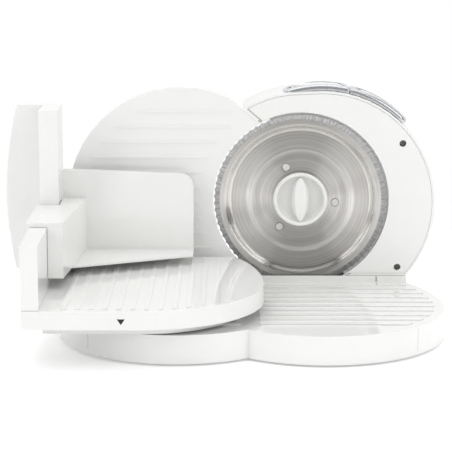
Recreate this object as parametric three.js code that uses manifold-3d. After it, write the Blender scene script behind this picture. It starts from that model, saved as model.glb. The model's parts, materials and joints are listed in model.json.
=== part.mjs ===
// An electric food slicer: a lobed base, a motor housing with a round blade, a thickness plate
// and a sliding carriage with its pusher.
// Millimetres, +Z up. While it is built, X = 0 and Y = 0 are the blade's axis and its cutting plane,
// Z = 0 is the surface it stands on, and +Y points away from the user.
import * as THREE from 'three';
import { mergeVertices } from 'three/addons/utils/BufferGeometryUtils.js';
import Module from 'manifold-3d';

const wasm = await Module();
wasm.setup();

// Clearances and walls
const seatGap = 0.3;
const runGap = 0.4;
const wall = 2.5;
const overcut = 0.5;

// Blade
const bladeRadius = 95;
const bladeTeeth = 77;
const toothDepth = 1.3;
const bladeThickness = 1.2;
const edgeThickness = 0.4;
const bevelWidth = 6.5;
const bevelDrop = 1;
const flatRingWidth = 5.5;
const dishStepWidth = 3;
const dishStepDepth = 5.3;
const dishRadius = 55;
const dishDepth = 7;
const bladeHoleRadius = 12;
const bladeSunk = 10.1;
const bladeClearance = 2.2;

// Base
const rimLift = 2.6;
const rimHeight = 29.4;
const deckRise = 7.4;
const deckFront = -3.5;
const rearMargin = 13;
const rearCornerRadius = 30;
const lobeSetback = 105.5;
const leftLobeRadius = 124.5;
const rightLobeRadius = 128;
const rightLobeX = 19.3;
const flankRadius = 190;
const baseRibs = 10;
const baseRibPitch = 18.9;
const baseRibWidth = 7;
const baseRibHeight = 1.5;
const baseRibFirst = 17;
const baseRibMargin = 10;
const ribBreakLeft = -66;
const ribBreakRight = -46;
const deckSlitX = 84.5;
const deckSlitWidth = 1.6;
const deckSlitDepth = 1.4;

// Base plate, feet and screws
const plateRecess = 2;
const plateThickness = 2.5;
const footRadius = 13;
const footBevel = 1;
const footStemRadius = 4;
const footHeadRadius = 6;
const footHeadHeight = 2;
const footInset = 34;
const leftFootAngle = 230;
const rightFootAngle = -40;
const screwHeadRadius = 3.4;
const screwHeadHeight = 2;
const screwShankRadius = 1.5;
const screwLength = 10;
const bossRadius = 4.5;

// Motor housing
const coverBand = 19.1;
const bulgeX = 23.4;
const bulgeDrop = 3.9;
const bulgeRadius = 121.2;
const housingFront = -1;
const coverFront = -1.5;
const coverThickness = 2.5;
const housingRearRound = 9;
const hornAngle = 119.65;
const hornTilt = -40.5;
const hornMargin = 3.9;
const hornPostTurn = 10;
const coreLeft = -26;
const coverScrewInset = 11;
const coverScrewUpAngle = 37.2;
const coverScrewLowRise = 9.7;
const screwWellGap = 0.45;
const coverCupWall = 1.6;
const coverCupDepth = 9;
const ventCount = 6;
const ventWidth = 3.2;
const ventPitch = 8;
const ventLength = 34;
const ventX = 56;
const ventRise = 40;

// Drive: worm wheel on a hub that turns on a fixed axle, worm on the motor's shaft
const gearTeeth = 48;
const gearWidth = 8;
const gearWebThickness = 4;
const gearRimThickness = 6;
const drumClearance = 3;
const wormLength = 24;
const wormRootWall = 0.6;
const shaftRadius = 2.5;
const hubDiscThickness = 3;
const hubPlateGap = 0.5;
const hubRadius = 12;
const hubTail = 6;
const pinRadius = 4;
const pinKnobGap = 4.75;
const pinMargin = 1.5;
const pinAngle = -6;
const pinProud = 0.6;
const axleRadius = 5;
const axleEngagement = 20;
const axleFlangeRadius = 12;
const axleFlangeThickness = 6;
const bushWall = 4;
const bushLength = 8;
const bushFlange = 3;

// Tooth proportions of the worm wheel, in modules
const toothAddendum = 0.8;
const toothDedendum = 1.1;
const toothTipWidth = 0.55;
const toothRootWidth = 1.45;

// The worm's thread, as a wave: its mean and its swing, in thread depths
const threadMean = 0.32;
const threadSwing = 0.95;

// Motor
const motorRadius = 25;
const motorFloorGap = 3.5;
const motorPlateGap = 2.2;
const motorRearGap = 5.5;
const motorStart = 50;
const motorLength = 46;
const motorWall = 7.6;
const motorEndThickness = 3;
const fanInset = 5;
const fanThickness = 6;
const fanBlades = 7;
const mountInset = 8;
const mountWidth = 32;
const mountRise = 13;
const bearingThickness = 7;
const bearingRise = 8;

// Buttons on the housing's rim
const powerX = 17.9;
const powerTilt = 90;
const buttonMiddle = 31;
const buttonLength = 56;
const buttonWidth = 20;
const buttonProud = 5.2;
const buttonDepth = 9;
const buttonTravel = 2.5;
const rimCurve = 7;
const bezelWidth = 8;
const bezelSpacing = 0.5;
const bezelProud = 4;
const bezelCorner = 7;
const bezelSleeve = 1.6;
const bezelDepth = 5;
const switchLength = 22;
const switchDepth = 15;
const switchHeight = 10;

// Blade knob
const knobRadius = 29.75;
const knobFront = 0.5;
const knobDish = 3.6;
const knobFloorRise = 0.4;
const knobRimWidth = 4.5;
const knobCrown = 0.3;
const knobEdgeWidth = 0.6;
const knobEdgeDepth = 1;
const knobShoulder = 2.4;
const knobStemRadius = 8;
const knobStemLength = 12;
const finLength = 47;
const finWidth = 13.8;

// Gauge plate and its slide
const gaugeReach = 35.2;
const gaugeDrop = 0.9;
const gaugeRadius = 124.5;
const gaugeThickness = 3;
const gaugeRimDepth = 9;
const gaugeRimWidth = 2.4;
const gaugeFoot = 4.6;
const gaugeBladeGap = 1.6;
const gaugeHornGap = 1.1;
const gaugeTravel = 15;
const gaugeRibs = 10;
const gaugeRibPitch = 16.8;
const gaugeRibTop = 97.7;
const gaugeRibWidth = 2.8;
const gaugeRibHeight = 0.8;
const gaugeRibLeftInset = 15.5;
const gaugeRibBladeGap = 15.8;
const gaugeRibRight = -75.2;
const carrierWidth = 56;
const carrierHeight = 64;
const carrierThickness = 5;
const carrierCorner = 8;
const carrierReach = 18.4;
const carrierDrop = 16;
const rodRadius = 4;
const rodSpacing = 40;
const rodDrop = 20;
const rodSocket = 7.5;
const rodEngagement = 14.8;
const rodEndGap = 1.7;
const nutRadius = 9;
const nutLength = 22;
const spindleRise = 14;
const towerGap = 5.2;
const towerWidth = 70;
const towerHeight = 128;
const towerCorner = 14;
const towerMargin = 9;
const sleeveWall = 3.2;
const sleeveLength = 22;
const dialRadius = 19;
const dialDepth = 15;
const dialGrips = 12;

// Carriage tray
const trayLift = 10.6;
const trayHeight = 19;
const trayReach = 149;
const trayDepth = 244;
const trayDeckGap = 3.5;
const trayCornerInset = 116.5;
const trayCornerRadius = 121;
const traySideRadius = 275;
const trayRibs = 13;
const trayRibPitch = 13.54;
const trayRibInset = 40.7;
const trayRibWidth = 4.5;
const trayRibHeight = 1;
const trayRibMargin = 5;
const apronInset = 19;
const apronDepth = 130;
const runnerWidth = 8;
const runnerInset = 57.2;
const runnerLength = 150;
const runnerFrontRibCount = 7.5;
const runnerRearRibCount = 1.5;

// Carriage upright: low wall, tall wall and hand guard wing
const lowWallThickness = 17.5;
const lowWallHeight = 64.1;
const tallWallThickness = 20;
const tallWallDepth = 55;
const tallWallHeight = 169.1;
const tallWallOverhang = 2;
const wingReach = 41;
const wingTopReach = 28;
const wingFootReach = 33;
const wingThickness = 7;
const wingDrop = 11.6;

// Pusher
const saddleLength = 99.7;
const saddleThickness = 4;
const saddleLegThickness = 3;
const saddleLegDrop = 30;
const boxWidth = 15.5;
const boxFlare = 13;
const boxWall = 2.2;
const pusherPlateSetback = 15;
const pusherPlateThickness = 4;
const pusherPlateHeight = 83.5;
const pusherPlateWidth = 141.6;
const pusherPlateSlope = 5.4;
const pusherPlateCorner = 14;
const pusherPlateEdge = 3;
const shelfRise = 11.4;
const shelfThickness = 2;
const shelfDepthLeft = 85.3;
const shelfDepthRight = 28.4;
const pusherSideGap = 0.9;

// Cord gland
const glandX = 92;
const glandRise = 70;
const glandRadius = 6;
const glandBore = 3.4;
const glandFlangeRadius = 10;
const glandFlangeThickness = 3;
const glandShoulder = 2;
const glandNose = 9;

// Heights and places that follow from the sizes above
const rimTop = rimLift + rimHeight;
const deckTop = rimTop + deckRise;
const plateLift = rimLift + plateRecess;
const plateTop = plateLift + plateThickness;
const axisHeight = deckTop + bladeRadius - bladeSunk;
const bulgeHeight = axisHeight - bulgeDrop;
const openingRadius = bladeRadius + bladeClearance;
const bandRadius = openingRadius + coverBand;
const rimRadius = bulgeRadius + wall;
const rimReach = buttonDepth + rimCurve;
const coverHoleRadius = screwHeadRadius + screwWellGap;

// The worm lies on the motor's axis, and the wheel fills the way from there up to the blade's axis
const wormHeight = deckTop + seatGap + wall + motorFloorGap + motorRadius;
const wormCore = shaftRadius + seatGap + wormRootWall;
const pitchRadius = (axisHeight - wormHeight - wormCore) / (1 + 2 * toothDedendum / gearTeeth);
const gearModule = 2 * pitchRadius / gearTeeth;
const wormPitchRadius = wormCore + toothDedendum * gearModule;
const gearTipRadius = pitchRadius + toothAddendum * gearModule;
const gearRootRadius = pitchRadius - toothDedendum * gearModule;
const drumRadius = gearTipRadius + drumClearance + wall;

// Depths behind the blade: hub, gear plate, motor, rear wall
const pinCircle = knobRadius + pinKnobGap + pinRadius;
const hubDiscRadius = pinCircle + pinRadius + pinMargin;
const hubFront = dishDepth + bladeThickness + seatGap;
const gearPlateFront = hubFront + hubDiscThickness + hubPlateGap;
const gearPlateRear = gearPlateFront + seatGap + wall;
const gearMiddle = gearPlateRear + motorPlateGap + motorRadius;
const hubRear = gearMiddle + gearWidth / 2 + hubTail;
const housingRear = gearMiddle + motorRadius + motorRearGap + wall;
const baseRear = housingRear + rearMargin;
const shaftStart = -wormLength / 2 - bearingThickness - 2 * seatGap;
const motorEnd = motorStart + motorLength;

// The gauge plate, its carrier, rods and tower
const gaugeX = -(bladeRadius + gaugeReach);
const gaugeZ = axisHeight - gaugeDrop;
const gaugeCut = bladeRadius + gaugeBladeGap;
const gaugeFootZ = deckTop + gaugeFoot;
const carrierX = -(gaugeCut + carrierReach + carrierWidth / 2);
const carrierZ = axisHeight - carrierDrop;
const carrierFront = gaugeThickness + seatGap;
const carrierRear = carrierFront + carrierThickness;
const rodZ = carrierZ - rodDrop;
const rodFront = carrierFront + wall;
const spindleZ = carrierZ + spindleRise;
const towerFront = carrierRear + rodSocket + gaugeTravel + towerGap;
const towerRear = towerFront + rodEngagement + gaugeTravel + rodEndGap + wall;
const rodLength = towerFront + rodEngagement - rodFront;
const rearLeft = carrierX - towerWidth / 2 - towerMargin;
const flankX = rightLobeX + rightLobeRadius - flankRadius;
const deckRight = flankX + Math.sqrt(flankRadius ** 2 - (deckFront + lobeSetback) ** 2);

// The carriage and the pusher on it
const trayLeft = gaugeX - trayReach;
const trayRear = deckFront - trayDeckGap;
const trayFront = trayRear - trayDepth;
const trayBottom = rimTop + trayLift;
const trayTop = trayBottom + trayHeight;
const trayCornerX = trayLeft + trayCornerInset;
const lowWallTop = trayTop + lowWallHeight;
const lowWallRight = trayLeft + lowWallThickness;
const tallWallTop = trayTop + tallWallHeight;
const tallWallRight = trayLeft + tallWallThickness;
const tallWallRear = trayRear + tallWallOverhang;
const tallWallFront = tallWallRear - tallWallDepth;
const wingFoot = trayTop - wingDrop;
const saddleRear = tallWallFront - seatGap;
const saddleFront = saddleRear - saddleLength;
const shelfTop = trayTop + shelfRise;
const pusherPlateTop = shelfTop + pusherPlateHeight;
const pusherPlateFront = tallWallRear - pusherPlateSetback;
const pusherPlateRear = pusherPlateFront + pusherPlateThickness;
const pusherPlateLeft = tallWallRight + pusherSideGap;
const pusherPlateRight = pusherPlateLeft + pusherPlateWidth;

// Finishes
const whitePlastic = { color: '#f1f1ef', roughness: 0.28, metalness: 0 };
const greyPlastic = { color: '#c9cac8', roughness: 0.5, metalness: 0 };
const blackRubber = { color: '#2b2b2c', roughness: 0.8, metalness: 0 };
const brushedSteel = { color: '#c3c3c1', roughness: 0.3, metalness: 1 };
const chrome = { color: '#d8dadc', roughness: 0.08, metalness: 1 };
const zincSteel = { color: '#a9abad', roughness: 0.4, metalness: 1 };
const darkMetal = { color: '#55585c', roughness: 0.5, metalness: 0.8 };

// How finely round faces are cut
const hullSides = 60;
const wideSides = 60;
const midSides = 24;
const slimSides = 12;
const screwSides = 6;
const cornerSteps = 3;

// A closed three.js geometry as a solid that can be joined and cut
function solid(geometry) {
  const bare = geometry.clone();
  bare.deleteAttribute('normal');
  bare.deleteAttribute('uv');
  const merged = mergeVertices(bare, 1e-4);
  const points = merged.attributes.position.array;
  const corner = (i) => new THREE.Vector3().fromArray(points, 3 * i);
  const faces = [];
  let volume = 0;
  for (let i = 0; i < merged.index.count; i += 3) {
    const [a, b, c] = merged.index.array.slice(i, i + 3);
    if (a === b || b === c || c === a) continue;
    faces.push([a, b, c]);
    volume += corner(a).dot(corner(b).cross(corner(c)));
  }
  const outward = volume > 0 ? faces : faces.map(([a, b, c]) => [a, c, b]);
  return new wasm.Manifold(new wasm.Mesh({
    numProp: 3,
    vertProperties: new Float32Array(points),
    triVerts: new Uint32Array(outward.flat()),
  }));
}

// A solid back as a named mesh
function piece(name, body, finish) {
  const made = body.getMesh();
  const geometry = new THREE.BufferGeometry();
  geometry.setAttribute('position', new THREE.BufferAttribute(made.vertProperties, 3));
  geometry.setIndex(new THREE.BufferAttribute(made.triVerts, 1));
  geometry.computeVertexNormals();
  const mesh = new THREE.Mesh(geometry, new THREE.MeshStandardMaterial(finish));
  mesh.name = name;
  return mesh;
}

const join = (first, ...others) => others.reduce((sum, other) => sum.add(other), first);
const cut = (first, ...others) => others.reduce((rest, other) => rest.subtract(other), first);
const radians = THREE.MathUtils.degToRad;
const degrees = THREE.MathUtils.radToDeg;

// Outlines
const outline = (points) => new THREE.Shape(points.map(([u, v]) => new THREE.Vector2(u, v)));

function arc(u, v, radius, from, to, steps) {
  const points = [];
  for (let i = 0; i <= steps; i += 1) {
    const angle = radians(from + (to - from) * i / steps);
    points.push([u + radius * Math.cos(angle), v + radius * Math.sin(angle)]);
  }
  return points;
}

const disc = (u, v, radius, sides) => outline(arc(u, v, radius, 0, 360 * (1 - 1 / sides), sides - 1));

// A rectangle whose corners have their own radii, from the lower left corner round to the upper left
function rounded(u0, v0, u1, v1, [lowLeft, lowRight, upRight, upLeft]) {
  const corner = (u, v, radius, from) =>
    (radius > 0 ? arc(u, v, radius, from, from + 90, cornerSteps) : [[u, v]]);
  return outline([
    ...corner(u0 + lowLeft, v0 + lowLeft, lowLeft, 180),
    ...corner(u1 - lowRight, v0 + lowRight, lowRight, 270),
    ...corner(u1 - upRight, v1 - upRight, upRight, 0),
    ...corner(u0 + upLeft, v1 - upLeft, upLeft, 90),
  ]);
}

const roundEnds = (u0, v0, u1, v1) => rounded(u0, v0, u1, v1, Array(4).fill((v1 - v0) / 2));
const oval = (length, width) => roundEnds(-length / 2, -width / 2, length / 2, width / 2);

// Solids: an outline drawn in plan and raised, or drawn from the front and run back along Y
const extruded = (shape, depth, options = {}) =>
  new THREE.ExtrudeGeometry(shape, { depth, bevelEnabled: false, ...options });
const raised = (shape, low, high) => solid(extruded(shape, high - low).translate(0, 0, low));
const runBack = (shape, front, rear) =>
  solid(extruded(shape, rear - front).rotateX(Math.PI / 2).translate(0, rear, 0));
const block = (x0, x1, y0, y1, z0, z1) =>
  solid(new THREE.BoxGeometry(x1 - x0, y1 - y0, z1 - z0)
    .translate((x0 + x1) / 2, (y0 + y1) / 2, (z0 + z1) / 2));

// Turned solids about an axis along Y, Z or X; a profile is a list of radius and place on the axis
const turned = (profile, sides) =>
  new THREE.LatheGeometry(profile.map(([r, h]) => new THREE.Vector2(r, h)), sides);
const turnedY = (profile, x, z, sides = midSides) => solid(turned(profile, sides).translate(x, 0, z));
const turnedZ = (profile, x, y, sides = slimSides) =>
  solid(turned(profile, sides).rotateX(Math.PI / 2).translate(x, y, 0));
const turnedX = (profile, y, z, sides = midSides) =>
  solid(turned(profile, sides).rotateZ(-Math.PI / 2).translate(0, y, z));
const bar = (radius, from, to) => [[0, from], [radius, from], [radius, to], [0, to]];
const ring = (inner, outer, from, to) =>
  [[inner, from], [outer, from], [outer, to], [inner, to], [inner, from]];

// A pan-head screw: its head starts at `start` and its shank runs towards larger values
const screwProfile = (start) => [
  [0, start],
  [screwHeadRadius, start],
  [screwHeadRadius, start + screwHeadHeight],
  [screwShankRadius, start + screwHeadHeight],
  [screwShankRadius, start + screwHeadHeight + screwLength],
  [0, start + screwHeadHeight + screwLength],
];
const pilotRadius = screwShankRadius + seatGap;
const pilotDepth = screwLength + 2 * seatGap;
const farAway = 600;

// Base plan: two round lobes and a square rear, drawn in by `inset`
function basePlan(inset) {
  const leftLobe = disc(gaugeX, -lobeSetback, leftLobeRadius - inset, wideSides);
  const flankEnd = degrees(Math.asin((lobeSetback + 2 * wall) / flankRadius));
  const rightLobe = outline([
    ...arc(rightLobeX, -lobeSetback, rightLobeRadius - inset, -180, 0, wideSides / 2),
    ...arc(flankX, -lobeSetback, flankRadius - inset, 0, flankEnd, 8).slice(1),
    [rightLobeX - rightLobeRadius + inset, 2 * wall],
  ]);
  const rear = rounded(rearLeft + inset, deckFront + inset, deckRight - inset, baseRear - inset,
    [0, 0, rearCornerRadius - inset, rearCornerRadius - inset]);
  return { leftLobe, rightLobe, rear };
}

function baseBody(inset, low, lobeHigh, deckHigh) {
  const plan = basePlan(inset);
  return join(raised(plan.leftLobe, low, lobeHigh), raised(plan.rightLobe, low, lobeHigh),
    raised(plan.rear, low, deckHigh));
}

const onCircle = (u, v, radius, angle) =>
  [u + radius * Math.cos(radians(angle)), v + radius * Math.sin(radians(angle))];
const footPlaces = {
  foot_front_left: onCircle(gaugeX, -lobeSetback, leftLobeRadius - footInset, leftFootAngle),
  foot_front_right: onCircle(rightLobeX, -lobeSetback, rightLobeRadius - footInset, rightFootAngle),
  foot_rear_left: [rearLeft + footInset, baseRear - footInset],
  foot_rear_right: [deckRight - footInset, baseRear - footInset],
};
const baseScrewPlaces = [
  [gaugeX, -lobeSetback - leftLobeRadius + footInset],
  [rightLobeX, -lobeSetback - rightLobeRadius + footInset],
  [gaugeX - leftLobeRadius + footInset, -lobeSetback],
  [rightLobeX + rightLobeRadius - footInset, -lobeSetback + footInset],
];
const housingScrewPlaces = [
  [coreLeft + 2 * bossRadius + wall, gearMiddle],
  [motorStart - 4 * bossRadius - wall, gearMiddle - mountWidth / 2],
  [motorStart - 4 * bossRadius - wall, gearMiddle + mountWidth / 2],
];
const towerMiddle = (towerFront + towerRear) / 2;
const towerScrewPlaces = [-1, 1].map((side) =>
  [carrierX + side * (towerWidth / 2 - wall - bossRadius), towerMiddle]);
const deckHeadLow = deckTop - wall - seatGap - screwHeadHeight;

function baseShell() {
  const ribs = [];
  for (let i = 0; i < baseRibs; i += 1) {
    const y = -baseRibFirst - i * baseRibPitch;
    ribs.push(block(-farAway, farAway, y - baseRibWidth / 2, y + baseRibWidth / 2, rimTop - wall / 2,
      rimTop + baseRibHeight));
  }
  const ribField = cut(baseBody(baseRibMargin, rimTop - wall, rimTop + deckRise, rimTop - wall / 2),
    block(ribBreakLeft, ribBreakRight, -farAway, farAway, 0, farAway),
    block(-farAway, farAway, deckFront - baseRibWidth / 2, farAway, 0, farAway));
  const troughOuter = bar(openingRadius + wall, deckFront, gearPlateFront + wall);
  const trough = turnedY(troughOuter, 0, axisHeight, wideSides)
    .intersect(block(-farAway, farAway, -farAway, farAway, 0, deckTop - wall / 2));
  const bosses = baseScrewPlaces.map(([x, y]) =>
    turnedZ(bar(bossRadius, plateTop + seatGap, rimTop - wall / 2), x, y, slimSides));
  const pilots = baseScrewPlaces.map(([x, y]) =>
    turnedZ(bar(pilotRadius, plateTop, plateTop + pilotDepth), x, y, screwSides));
  const deckHoles = [...housingScrewPlaces, ...towerScrewPlaces].map(([x, y]) =>
    turnedZ(bar(pilotRadius, deckTop - 2 * wall, deckTop + wall), x, y, screwSides));
  const shell = cut(baseBody(0, rimLift, rimTop, deckTop),
    baseBody(wall, rimLift - wall, rimTop - wall, deckTop - wall));
  return cut(join(shell, join(...ribs).intersect(ribField), trough, ...bosses), ...pilots, ...deckHoles,
    turnedY(bar(openingRadius, deckFront + wall, gearPlateFront), 0, axisHeight, wideSides),
    block(deckSlitX - deckSlitWidth / 2, deckSlitX + deckSlitWidth / 2, deckFront - wall,
      deckFront + deckSlitDepth, rimTop + seatGap, deckTop + wall));
}

function basePlate() {
  const holes = [
    ...Object.values(footPlaces).map(([x, y]) =>
      turnedZ(bar(footStemRadius + seatGap, 0, 2 * plateTop), x, y, slimSides)),
    ...baseScrewPlaces.map(([x, y]) => turnedZ(bar(pilotRadius, 0, 2 * plateTop), x, y, screwSides)),
  ];
  return cut(baseBody(wall + seatGap, plateLift, plateTop, plateTop), ...holes);
}

function foot([x, y]) {
  const neck = plateLift - seatGap;
  const head = plateTop + seatGap;
  return turnedZ([
    [0, 0],
    [footRadius - footBevel, 0],
    [footRadius, footBevel],
    [footRadius, neck],
    [footStemRadius, neck],
    [footStemRadius, head],
    [footHeadRadius, head],
    [footHeadRadius, head + footHeadHeight],
    [0, head + footHeadHeight],
  ], x, y, slimSides);
}

// Housing outline seen from the front: the band round the blade and the bulge to its right, hulled
function hullOutline(offset) {
  const rounds = [
    { x: 0, z: axisHeight, radius: bandRadius + offset },
    { x: bulgeX, z: bulgeHeight, radius: bulgeRadius + offset },
  ];
  const points = [];
  for (let i = 0; i < hullSides; i += 1) {
    const angle = radians(360 * i / hullSides);
    const reach = ({ x, z, radius }) => x * Math.cos(angle) + z * Math.sin(angle) + radius;
    const { x, z, radius } = rounds.reduce((a, b) => (reach(a) >= reach(b) ? a : b));
    points.push([x + radius * Math.cos(angle), z + radius * Math.sin(angle)]);
  }
  return outline(points);
}

const hull = (offset, front, rear) => runBack(hullOutline(offset), front, rear);
const coverEdge = -seatGap;

// What lies below the slanting end of the cover, moved away from it by `offset`
function belowHorn(offset, front, rear) {
  const along = [Math.cos(radians(hornTilt)), Math.sin(radians(hornTilt))];
  const tip = onCircle(0, axisHeight, bandRadius, hornAngle);
  const start = [tip[0] + offset * along[1], tip[1] - offset * along[0]];
  const far = [start[0] - farAway * along[0], start[1] - farAway * along[1]];
  const middle = start[1] - start[0] * along[1] / along[0];
  const below = [[0, middle], [0, -farAway], [-farAway, -farAway], [-farAway, far[1]], far];
  return runBack(outline(below), front, rear);
}

// The housing's body, drawn in by `inset`: the band, the core behind the blade and the gear's drum
function housingBody(inset, front, rear, rearRound, roundSteps = 2) {
  const shaped = solid(extruded(hullOutline(wall - inset), rear - front, {
    bevelEnabled: rearRound > 0,
    bevelThickness: rearRound,
    bevelSize: rearRound,
    bevelOffset: -rearRound,
    bevelSegments: roundSteps,
  }).rotateX(Math.PI / 2).translate(0, rear - rearRound, 0));
  const opening = turnedY(bar(openingRadius + inset, -farAway, farAway), 0, axisHeight, wideSides);
  const drum = turnedY(bar(drumRadius - inset, -farAway, farAway), 0, axisHeight, wideSides);
  const left = block(-farAway, coreLeft + inset, -farAway, farAway, -farAway, farAway);
  return cut(
    shaped.intersect(block(-farAway, farAway, front, rear, deckTop + seatGap + inset, farAway)),
    cut(belowHorn(hornMargin - inset, -farAway, farAway), opening),
    cut(opening.intersect(left), drum),
    opening.intersect(block(-farAway, farAway, -farAway, gearPlateFront, -farAway, farAway)),
  );
}

// A button's place on the rim: `tilt` is the direction it is pressed from, seen from the front
const bezelStep = buttonLength + 2 * bezelWidth + bezelSpacing;
const powerTurn = degrees(Math.acos((powerX - bulgeX) / rimRadius));
const safetyTilt = powerTurn - 2 * degrees(Math.asin(bezelStep / 2 / rimRadius));
const safetyX = bulgeX + rimRadius * Math.cos(radians(safetyTilt));
const buttonPlaces = {
  power: { x: powerX, tilt: powerTilt },
  safety: { x: safetyX, tilt: safetyTilt },
};

const rimHeightAt = (x) => bulgeHeight + Math.sqrt(rimRadius ** 2 - (x - bulgeX) ** 2);

// A post of any outline, or an oval one, through the rim at a button's place
function rimPost({ x, tilt }, shape) {
  return solid(extruded(shape, 2 * rimReach).translate(0, 0, -rimReach)
    .rotateY(radians(90 - tilt)).translate(x, buttonMiddle, rimHeightAt(x)));
}

const ovalPost = (place, length, width) => rimPost(place, oval(length, width));

const rimLayer = (low, high) =>
  cut(hull(wall + high, 0, housingRear), hull(wall + low, -wall, 2 * housingRear));

function bezel(place) {
  const inner = ovalPost(place, buttonLength, buttonWidth);
  const halfLength = buttonLength / 2 + bezelWidth;
  const halfWidth = buttonWidth / 2 + bezelWidth;
  const frame = rounded(-halfLength, -halfWidth, halfLength, halfWidth, Array(4).fill(bezelCorner));
  const flange = rimPost(place, frame).intersect(rimLayer(seatGap, bezelProud));
  const sleeve = ovalPost(place, buttonLength + 2 * bezelSleeve, buttonWidth + 2 * bezelSleeve)
    .intersect(rimLayer(-bezelDepth, bezelProud / 2));
  return cut(join(flange, sleeve), inner);
}

const button = (place) => ovalPost(place, buttonLength - 2 * runGap, buttonWidth - 2 * runGap)
  .intersect(rimLayer(-buttonDepth, buttonProud));

function switchBody({ x, tilt }) {
  const top = -buttonDepth - buttonTravel - runGap - wall;
  const geometry = new THREE.BoxGeometry(switchLength, switchDepth, switchHeight)
    .translate(0, gearPlateRear + seatGap + switchDepth / 2, top - switchHeight / 2)
    .rotateY(radians(90 - tilt))
    .translate(x, 0, rimHeightAt(x));
  return solid(geometry);
}

const coverScrewCircle = bulgeRadius - coverScrewInset;
const coverScrewLow = deckTop + coverScrewLowRise;
const coverScrewPlaces = {
  cover_screw_upper: onCircle(bulgeX, bulgeHeight, coverScrewCircle, coverScrewUpAngle),
  cover_screw_lower: [
    bulgeX + Math.sqrt(coverScrewCircle ** 2 - (bulgeHeight - coverScrewLow) ** 2), coverScrewLow],
};
const cupRadius = coverHoleRadius + coverCupWall;
const cupFloor = coverFront + coverThickness + coverCupDepth;
const bandMiddle = openingRadius + (coverBand + wall) / 2;
const gearPlateScrewPlaces = [
  [bulgeX + bulgeRadius - 5 * bossRadius, axisHeight],
  onCircle(0, axisHeight, bandMiddle, hornAngle - hornPostTurn),
  [coreLeft + 2 * bossRadius, axisHeight + drumRadius + 2 * bossRadius],
];

function motorHousing() {
  const shell = cut(housingBody(0, housingFront, housingRear, housingRearRound),
    housingBody(wall, housingFront - wall, housingRear - wall, housingRearRound - wall, 1));
  const posts = gearPlateScrewPlaces.map(([x, z]) =>
    turnedY(bar(bossRadius, gearPlateRear + seatGap, housingRear - wall / 2), x, z, slimSides));
  const pilots = gearPlateScrewPlaces.map(([x, z]) =>
    turnedY(bar(pilotRadius, gearPlateRear, gearPlateRear + pilotDepth), x, z, screwSides));
  const floor = deckTop + seatGap;
  const feet = housingScrewPlaces.map(([x, y]) =>
    turnedZ(bar(bossRadius, floor, deckHeadLow + screwHeadHeight + pilotDepth + wall), x, y, slimSides));
  const footHoles = housingScrewPlaces.map(([x, y]) =>
    turnedZ(bar(pilotRadius, 0, deckHeadLow + screwHeadHeight + pilotDepth), x, y, screwSides));
  const sleeveRoom = 2 * (bezelSleeve + seatGap);
  const buttonHoles = Object.values(buttonPlaces).map((place) =>
    ovalPost(place, buttonLength + sleeveRoom, buttonWidth + sleeveRoom));
  const vents = [];
  for (let i = 0; i < ventCount; i += 1) {
    const z = axisHeight + ventRise + (i - (ventCount - 1) / 2) * ventPitch;
    const slot = roundEnds(ventX - ventLength / 2, z - ventWidth / 2,
      ventX + ventLength / 2, z + ventWidth / 2);
    vents.push(runBack(slot, housingRear - 2 * wall, housingRear + wall));
  }
  const glandHole = turnedY(bar(glandRadius + seatGap, housingRear - 2 * wall, housingRear + wall),
    glandX, deckTop + glandRise, slimSides);
  const coverSeatRear = coverFront + coverThickness + seatGap;
  const coverSeat = turnedY(bar(openingRadius + wall + seatGap, -farAway, coverSeatRear),
    0, axisHeight, wideSides);
  return cut(join(shell, ...posts, ...feet), ...pilots, ...footHoles, ...buttonHoles, ...vents,
    glandHole, coverSeat);
}

function frontCover() {
  const front = coverFront;
  const rear = coverFront + coverThickness;
  const floor = deckTop + seatGap;
  const plate = cut(hull(coverEdge, front, rear),
    turnedY(bar(openingRadius - seatGap, -farAway, farAway), 0, axisHeight, wideSides),
    belowHorn(0, -farAway, farAway),
    block(-farAway, farAway, -farAway, farAway, -farAway, floor + wall + seatGap));
  const places = Object.values(coverScrewPlaces);
  const cups = places.map(([x, z]) =>
    turnedY(bar(cupRadius, front + coverThickness / 2, cupFloor), x, z, slimSides));
  const wells = places.map(([x, z]) =>
    turnedY(bar(coverHoleRadius, front - wall, cupFloor - coverThickness), x, z, slimSides));
  const holes = places.map(([x, z]) => turnedY(bar(pilotRadius, -farAway, farAway), x, z, screwSides));
  return cut(join(plate, ...cups), ...wells, ...holes);
}

function gearPlate() {
  const front = gearPlateFront + seatGap;
  const plate = housingBody(wall + seatGap, front, gearPlateRear, 0);
  const posts = Object.values(coverScrewPlaces).map(([x, z]) =>
    turnedY(bar(cupRadius, cupFloor + seatGap, front + wall / 2), x, z, slimSides));
  const pilots = Object.values(coverScrewPlaces).map(([x, z]) =>
    turnedY(bar(pilotRadius, -farAway, farAway), x, z, screwSides));
  const holes = gearPlateScrewPlaces.map(([x, z]) =>
    turnedY(bar(pilotRadius, -farAway, farAway), x, z, screwSides));
  const bushHole = turnedY(bar(hubRadius + runGap + bushWall + seatGap, -farAway, farAway),
    0, axisHeight, midSides);
  return cut(join(plate, ...posts), ...pilots, ...holes, bushHole);
}

function frontBush() {
  const inner = hubRadius + runGap;
  const outer = inner + bushWall;
  const front = gearPlateFront + seatGap;
  const flange = gearPlateRear + seatGap;
  return turnedY([
    [inner, front],
    [outer, front],
    [outer, flange],
    [outer + bushFlange, flange],
    [outer + bushFlange, flange + bushFlange],
    [outer, flange + bushFlange],
    [outer, front + bushLength],
    [inner, front + bushLength],
    [inner, front],
  ], 0, axisHeight, midSides);
}

const pinPlaces = [0, 120, 240].map((turn) => onCircle(0, axisHeight, pinCircle, pinAngle + turn));

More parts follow.
